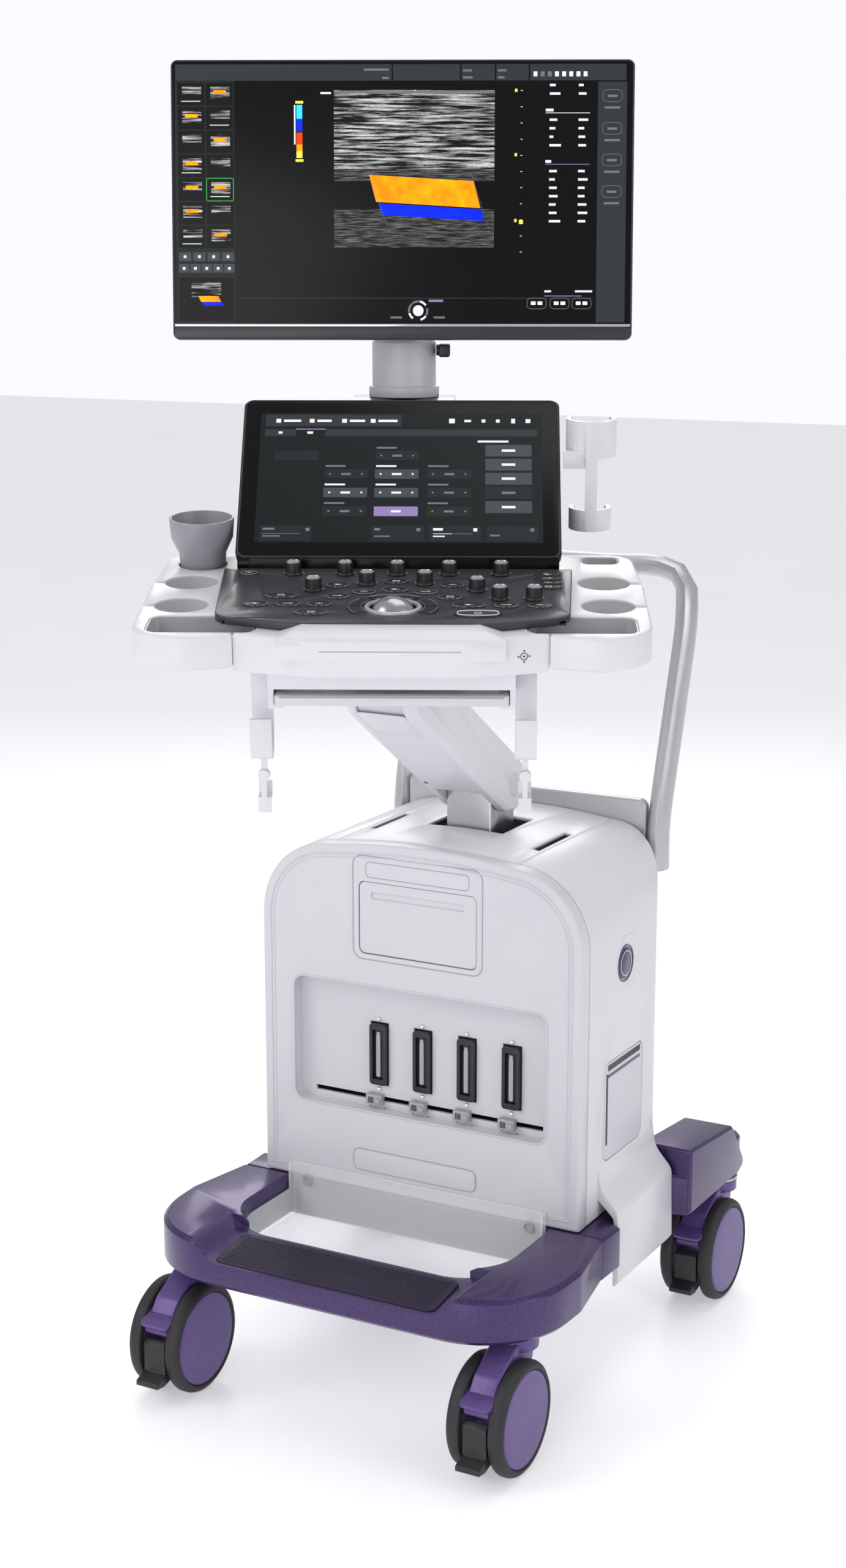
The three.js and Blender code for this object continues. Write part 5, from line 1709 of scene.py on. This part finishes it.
@dataclass
class Monitor(Display):
    """The monitor, its neck, its lock lever and its page."""

    body: str = "monitor"

    def build(self) -> None:
        """Dresses the monitor."""
        self.skin("monitor_neck", "monitor_neck", GREY, 0.001)
        self.skin("monitor_lock_lever", "monitor_lock_lever", BLACK, 0.0008)
        self.skin("monitor", "monitor", GLASS, 0.001)
        self.page = self.places.screen @ move(0, -64.5, 24) @ spin("X", 90)
        self.bezel()
        self.header()
        self.gallery()
        self.image()
        self.readings()
        self.back()

    def bezel(self) -> None:
        """The moulded edge, the lower bezel and the bright strip above it."""
        rim = Bench.ring(-239.8, 239.8, -141.8, 141.8, 6, 1.0)
        self.finish(rim, "monitor_rim", self.body, BEZEL, self.page @ move(0, 0, -1.0))
        low = Bench.plate((-239.2, -141.2, -0.4), (239.2, -129.6, 0.5), 3, 0.2, 3)
        self.finish(low, "monitor_lower_bezel", self.body, BEZEL, self.page)
        strip = Bench.block((-238.8, -129.2, -0.2), (238.8, -126.6, 0.7), 0.25, 2)
        self.finish(strip, "monitor_bright_strip", self.body, CHROME, self.page)

    def header(self) -> None:
        """The header bar and its status icons."""
        self.marks("page_header", LIT_BAR, [(-236, 121.5, -11, 138), (-9.6, 121.5, 60, 138),
                                            (61.4, 121.5, 96, 138), (97.4, 121.5, 131, 138),
                                            (132.4, 121.5, 232, 138)], 0.0)
        words = [(-40, 131.5, -14, 133.6), (-21, 123.1, -14, 125.2), (63, 130.5, 72, 132.6),
                 (63, 123.5, 73, 125.6), (99, 130.5, 108, 132.6), (99, 123.5, 106, 125.6)]
        icons = [(136 + 7.4 * i, 125.5, 140 + 7.4 * i, 130.5) for i in range(8)]
        self.marks("page_header_marks", LIT_FAINT, words + icons[1:3], 0.12)
        self.marks("page_header_icons", LIT_TEXT, icons[:1] + icons[3:], 0.12)

    def gallery(self) -> None:
        """The column of small saved images with its buttons and preview."""
        backs: list[Rect] = []
        images: list[Rect] = []
        flows: list[Rect] = []
        waves: list[Rect] = []
        for row in range(7):
            top = 119.5 - 24.2 * row
            for column in range(2):
                left = -234.0 + 29.6 * column
                backs.append((left, top - 23, left + 28.4, top))
                images.append((left + 5, top - 12 - 4 * ((row + column) % 2), left + 25, top - 4))
                if (row + column) % 2 == 1 or row == 4:
                    flows.append((left + 8, top - 11, left + 21, top - 7.5))
                if (row * 2 + column) % 3 == 0:
                    waves.append((left + 4, top - 19, left + 24, top - 18.2))
        self.marks("gallery_backs", LIT_DIM, [(-236.5, -126, -175, 121)], 0.0)
        self.marks("gallery_cells", GLASS, backs, 0.08)
        self.marks("gallery_images", ECHO, images, 0.16)
        self.marks("gallery_flows", LIT_ORANGE, flows, 0.24)
        self.marks("gallery_waves", LIT_TEXT, waves, 0.24)
        self.frames("gallery_choice", LIT_GREEN, [(-204.2, -0.4, -176.2, 22.6)], 0.12)
        buttons = [(-234 + 15 * i, -62, -221 + 15 * i, -53) for i in (0, 1, 2, 3)]
        buttons += [(-234 + 11.9 * i, -74, -223.2 + 11.9 * i, -65) for i in range(5)]
        self.marks("gallery_buttons", LIT_BUTTON, buttons, 0.1)
        self.marks("gallery_button_marks", LIT_TEXT,
                   [((a + c) / 2 - 1.4, (b + d) / 2 - 1.4, (a + c) / 2 + 1.4, (b + d) / 2 + 1.4)
                    for a, b, c, d in buttons], 0.2)
        self.marks("preview_cell", GLASS, [(-234, -124, -177, -79)], 0.08)
        self.marks("preview_image", ECHO, [(-221, -99, -190, -84)], 0.16)
        flow = Bench.slant(Bench.block((-211, -104, 0.2), (-190, -98, 0.3)), -3)
        self.finish(flow, "preview_flow", self.body, LIT_ORANGE, self.page)
        deep = Bench.slant(Bench.block((-208, -108, 0.2), (-187, -104.4, 0.3)), -2)
        self.finish(deep, "preview_flow_back", self.body, LIT_BLUE, self.page)

    def image(self) -> None:
        """The live image with its coloured flow box, scale and depth ticks."""
        self.marks("image_upper", ECHO, [(-71, 32, 96, 112)], 0.02)
        self.marks("image_lower", ECHO_DEEP, [(-71, -48, 96, -9)], 0.02)
        self.marks("image_top_line", LIT_FAINT, [(-71, 108.5, 96, 111.5)], 0.12)
        wedge = Bench.block((-71, 20, 0.02), (96, 32, 0.1))
        self.finish(wedge, "image_middle", self.body, ECHO_DEEP, self.page)
        tilt = spin("Z", -3.4)
        upper = Bench.turn(Bench.slant(Bench.block((-27, -3, 0.14), (82, 24, 0.26)), -9), tilt)
        self.finish(upper, "flow_band_upper", self.body, LIT_ORANGE, self.page)
        lower = Bench.turn(Bench.slant(Bench.block((-20, -16, 0.14), (86.5, -4.2, 0.26)), -4), tilt)
        self.finish(lower, "flow_band_lower", self.body, LIT_BLUE, self.page)
        corners = [(-35, 27, 0.25), (72, 27, 0.25), (92, -33, 0.25), (-13, -33, 0.25)]
        self.finish(Bench.loop(corners, 0.18), "flow_box", self.body, LIT_FAINT, self.page)
        self.marks("scale_cyan", LIT_CYAN, [(-110, 83, -104, 97)])
        self.marks("scale_blue", LIT_BLUE, [(-110, 70, -104, 83)])
        self.marks("scale_red", LIT_RED, [(-110, 57, -104, 69)])
        self.marks("scale_orange", LIT_ORANGE, [(-110, 50, -104, 57)])
        self.marks("scale_yellow", LIT_YELLOW, [(-110, 43.5, -104, 50), (12, 110.5, 14, 112),
                                                (117, 110, 119.4, 113), (117, 45, 119.4, 48),
                                                (117, -22, 119.4, -19), (122, -24, 126, -20),
                                                (-111, 98.5, -103, 101), (-111, 39.5, -103, 42)])
        ticks = [(123, 111 - 16.4 * i, 125, 111.7 - 16.4 * i) for i in range(11)]
        self.marks("depth_ticks", LIT_TEXT, ticks + [(-85, 108, -74, 110), (-112.6, 57, -111, 97)])

    def readings(self) -> None:
        """The column of readings, the soft keys and the ball guide."""
        words = self.lines(153, 118, [6, 11], 8.6, 2.4) + self.lines(183, 118, [5, 8], 8.6, 2.4)
        words += self.lines(149, 93, [8], 8, 2.8) + self.lines(153, 83, [8, 6, 4, 12], 8.6, 2.4)
        words += self.lines(183, 83, [10, 6, 7, 8], 8.6, 2.4)
        words += self.lines(149, 41, [6], 8, 2.8) + self.lines(153, 31, [8, 6, 8, 9, 7, 8, 12], 8.5, 2.4)
        words += self.lines(183, 31, [7, 10, 7, 7, 9, 10, 8], 8.5, 2.4)
        words += [(149, -94, 156, -92), (181, -94, 199, -92), (149, 88.4, 195, 89)]
        self.marks("reading_marks", LIT_TEXT, words)
        self.marks("reading_lines", LIT_PURPLE, [(149, 36.4, 195, 37), (149, -98.2, 188, -97.4)])
        self.marks("soft_key_panel", LIT_BAR, [(203, -125, 233, 120)], 0.0)
        tops = (112, 79, 47, 15)
        self.frames("soft_key_outlines", LIT_FAINT, [(208, top - 12, 228, top) for top in tops], 0.5)
        self.marks("soft_key_marks", LIT_FAINT, [(213, top - 7.4, 223, top - 5) for top in tops]
                   + [(210, top - 19, 226, top - 16.8) for top in tops], 0.12)
        self.frames("print_key_outlines", LIT_FAINT, [(131, -111, 151, -100), (155, -111, 175, -100),
                                                      (178, -111, 198, -100)], 0.5)
        self.marks("print_key_marks", LIT_TEXT, [(left, -107, left + 5, -103.4)
                                                 for left in (135, 142, 159, 166, 182, 189)])
        self.marks("page_lower_line", LIT_BAR, [(-173, -100.6, 200, -99.8)])
        disc = Bench.turned([(0, 0.05), (5.6, 0.05), (5.6, 0.3), (0, 0.3)], 32)
        ball = self.page @ move(17, -113, 0)
        self.finish(disc, "ball_guide_centre", self.body, LIT_TEXT, ball)
        for label, coat, spans in (("bright", LIT_TEXT, ((-75, -35), (35, 80), (195, 235))),
                                   ("faint", LIT_FAINT, ((-30, 15), (85, 130), (135, 190)))):
            arcs = [Bench.tube([(*around(9.6, angle), 0.1) for angle in range(start, stop + 1, 5)], 1.1,
                               smooth=False) for start, stop in spans]
            self.finish(Bench.join(arcs), f"ball_guide_{label}", self.body, coat, ball)
        self.marks("ball_guide_words", LIT_FAINT, [(-12, -121, 0, -119), (33, -121, 45, -119)])
        self.marks("ball_guide_name", LIT_PURPLE, [(28, -104, 43, -101.6)])

    def back(self) -> None:
        """Vent slots, fastening screws and socket block on the back."""
        back = self.places.screen @ move(0, -20.5, 24) @ spin("X", -90)
        slots = [(side * (22 + 9.0 * i), -54, 2.4, 16) for side in (-1, 1) for i in range(10)]
        self.bars("monitor_vents", self.body, BEZEL, back, slots, -0.2, 0.6)
        plate = Bench.plate((-44, -36, -0.2), (44, 52, 1.6), 8, 0.5, 5)
        self.finish(plate, "monitor_mount_plate", self.body, BEZEL, back)
        head = [(0, 0.4), (1.6, 0.4), (2.0, 1.3), (3.8, 0.8), (4.4, -0.6), (0, -0.6)]
        screws = [Bench.turn(Bench.turned(head, 20), move(x, y, 1.6))
                  for x in (-37.5, 37.5) for y in (-29, 45)]
        self.finish(Bench.join(screws), "monitor_screws", self.body, STEEL, back)


# ---- studio ------------------------------------------------------------------------------------


@dataclass(frozen=True)
class Lamp:
    """A soft, square area light: where it hangs, what it points at, its side and its watts."""

    name: str
    spot: Point
    aim: Point
    size: float
    power: float


@dataclass
class Studio:
    """Floor, lights and camera."""

    places: Places
    lamps: tuple[Lamp, ...] = (
        Lamp("key_light", (-2.2, -2.6, 3.0), (0, 0, 0.7), 2.0, 46.0),
        Lamp("front_light", (0.4, -3.6, 1.1), (0, 0, 0.45), 2.2, 31.0),
        Lamp("side_light", (3.2, -0.4, 2.0), (0, 0, 0.6), 1.8, 26.0),
        Lamp("top_light", (0.2, 0.8, 3.6), (0, 0, 0.7), 2.4, 34.0),
        Lamp("rim_light", (-1.6, 2.8, 2.2), (0, 0, 0.9), 1.6, 26.0))
    eye: Point = (1250.0, -2421.5, 1266.2)
    heading: float = 28.67
    pitch: float = 12.57
    lens: float = 54.9
    sensor: float = 36.0

    def build(self) -> None:
        """Makes the studio."""
        self.floor()
        for lamp in self.lamps:
            self.light(lamp)
        self.camera()
        self.air()
        bpy.context.scene.view_settings.view_transform = "Standard"

    def air(self) -> None:
        """A white backdrop to the camera, and a softer one to the machine."""
        world = bpy.data.worlds.new("studio_air")
        world.use_nodes = True
        tree = world.node_tree
        path = tree.nodes.new("ShaderNodeLightPath")
        strength = tree.nodes.new("ShaderNodeMapRange")
        strength.inputs["To Min"].default_value = 0.5
        strength.inputs["To Max"].default_value = 1.0
        tree.links.new(path.outputs["Is Camera Ray"], strength.inputs["Value"])
        tree.nodes["Background"].inputs["Color"].default_value = (0.96, 0.97, 1.0, 1.0)
        tree.links.new(strength.outputs["Result"], tree.nodes["Background"].inputs["Strength"])
        bpy.context.scene.world = world

    def floor(self) -> None:
        """A plain pale floor."""
        Bench.clear()
        bpy.ops.mesh.primitive_plane_add(size=30.0, location=(0, 0, 0))
        floor = bpy.context.object
        floor.name = "studio_floor"
        paint = Lit("studio_floor_paint", "white_cover", (0.82, 0.82, 0.84), (0.80, 0.80, 0.82), 0.3, 0.4,
                    grain=2.0, power=0.46)
        floor.data.materials.append(paint.material())

    def light(self, lamp: Lamp) -> None:
        """Hangs one light.

        Args:
            lamp: the light.
        """
        data = bpy.data.lights.new(lamp.name, "AREA")
        data.size = lamp.size
        data.energy = lamp.power
        obj = bpy.data.objects.new(lamp.name, data)
        obj.location = lamp.spot
        obj.rotation_euler = (Vector(lamp.aim) - Vector(lamp.spot)).to_track_quat("-Z", "Y").to_euler()
        bpy.context.collection.objects.link(obj)

    def camera(self) -> None:
        """The camera at the front right, a little above the console."""
        data = bpy.data.cameras.new("studio_camera")
        data.sensor_fit = "VERTICAL"
        data.sensor_height = self.sensor
        data.lens = self.lens
        obj = bpy.data.objects.new("studio_camera", data)
        obj.location = self.places.floor @ Vector(self.eye)
        obj.rotation_euler = (math.radians(90 - self.pitch), 0.0, math.radians(self.heading))
        bpy.context.collection.objects.link(obj)
        bpy.context.scene.camera = obj


def main() -> None:
    """Builds the machine and its studio, in order."""
    logging.basicConfig(level=logging.INFO, format="%(name)s %(message)s")
    places = Places()
    for maker in (Carriage, Casters, Body, Handle, Lift, Console, TouchPanel, Monitor):
        LOG.info("building %s", maker.__name__)
        maker(places).build()
    Studio(places).build()
    Bench.clear()


if __name__ == "__main__":
    main()
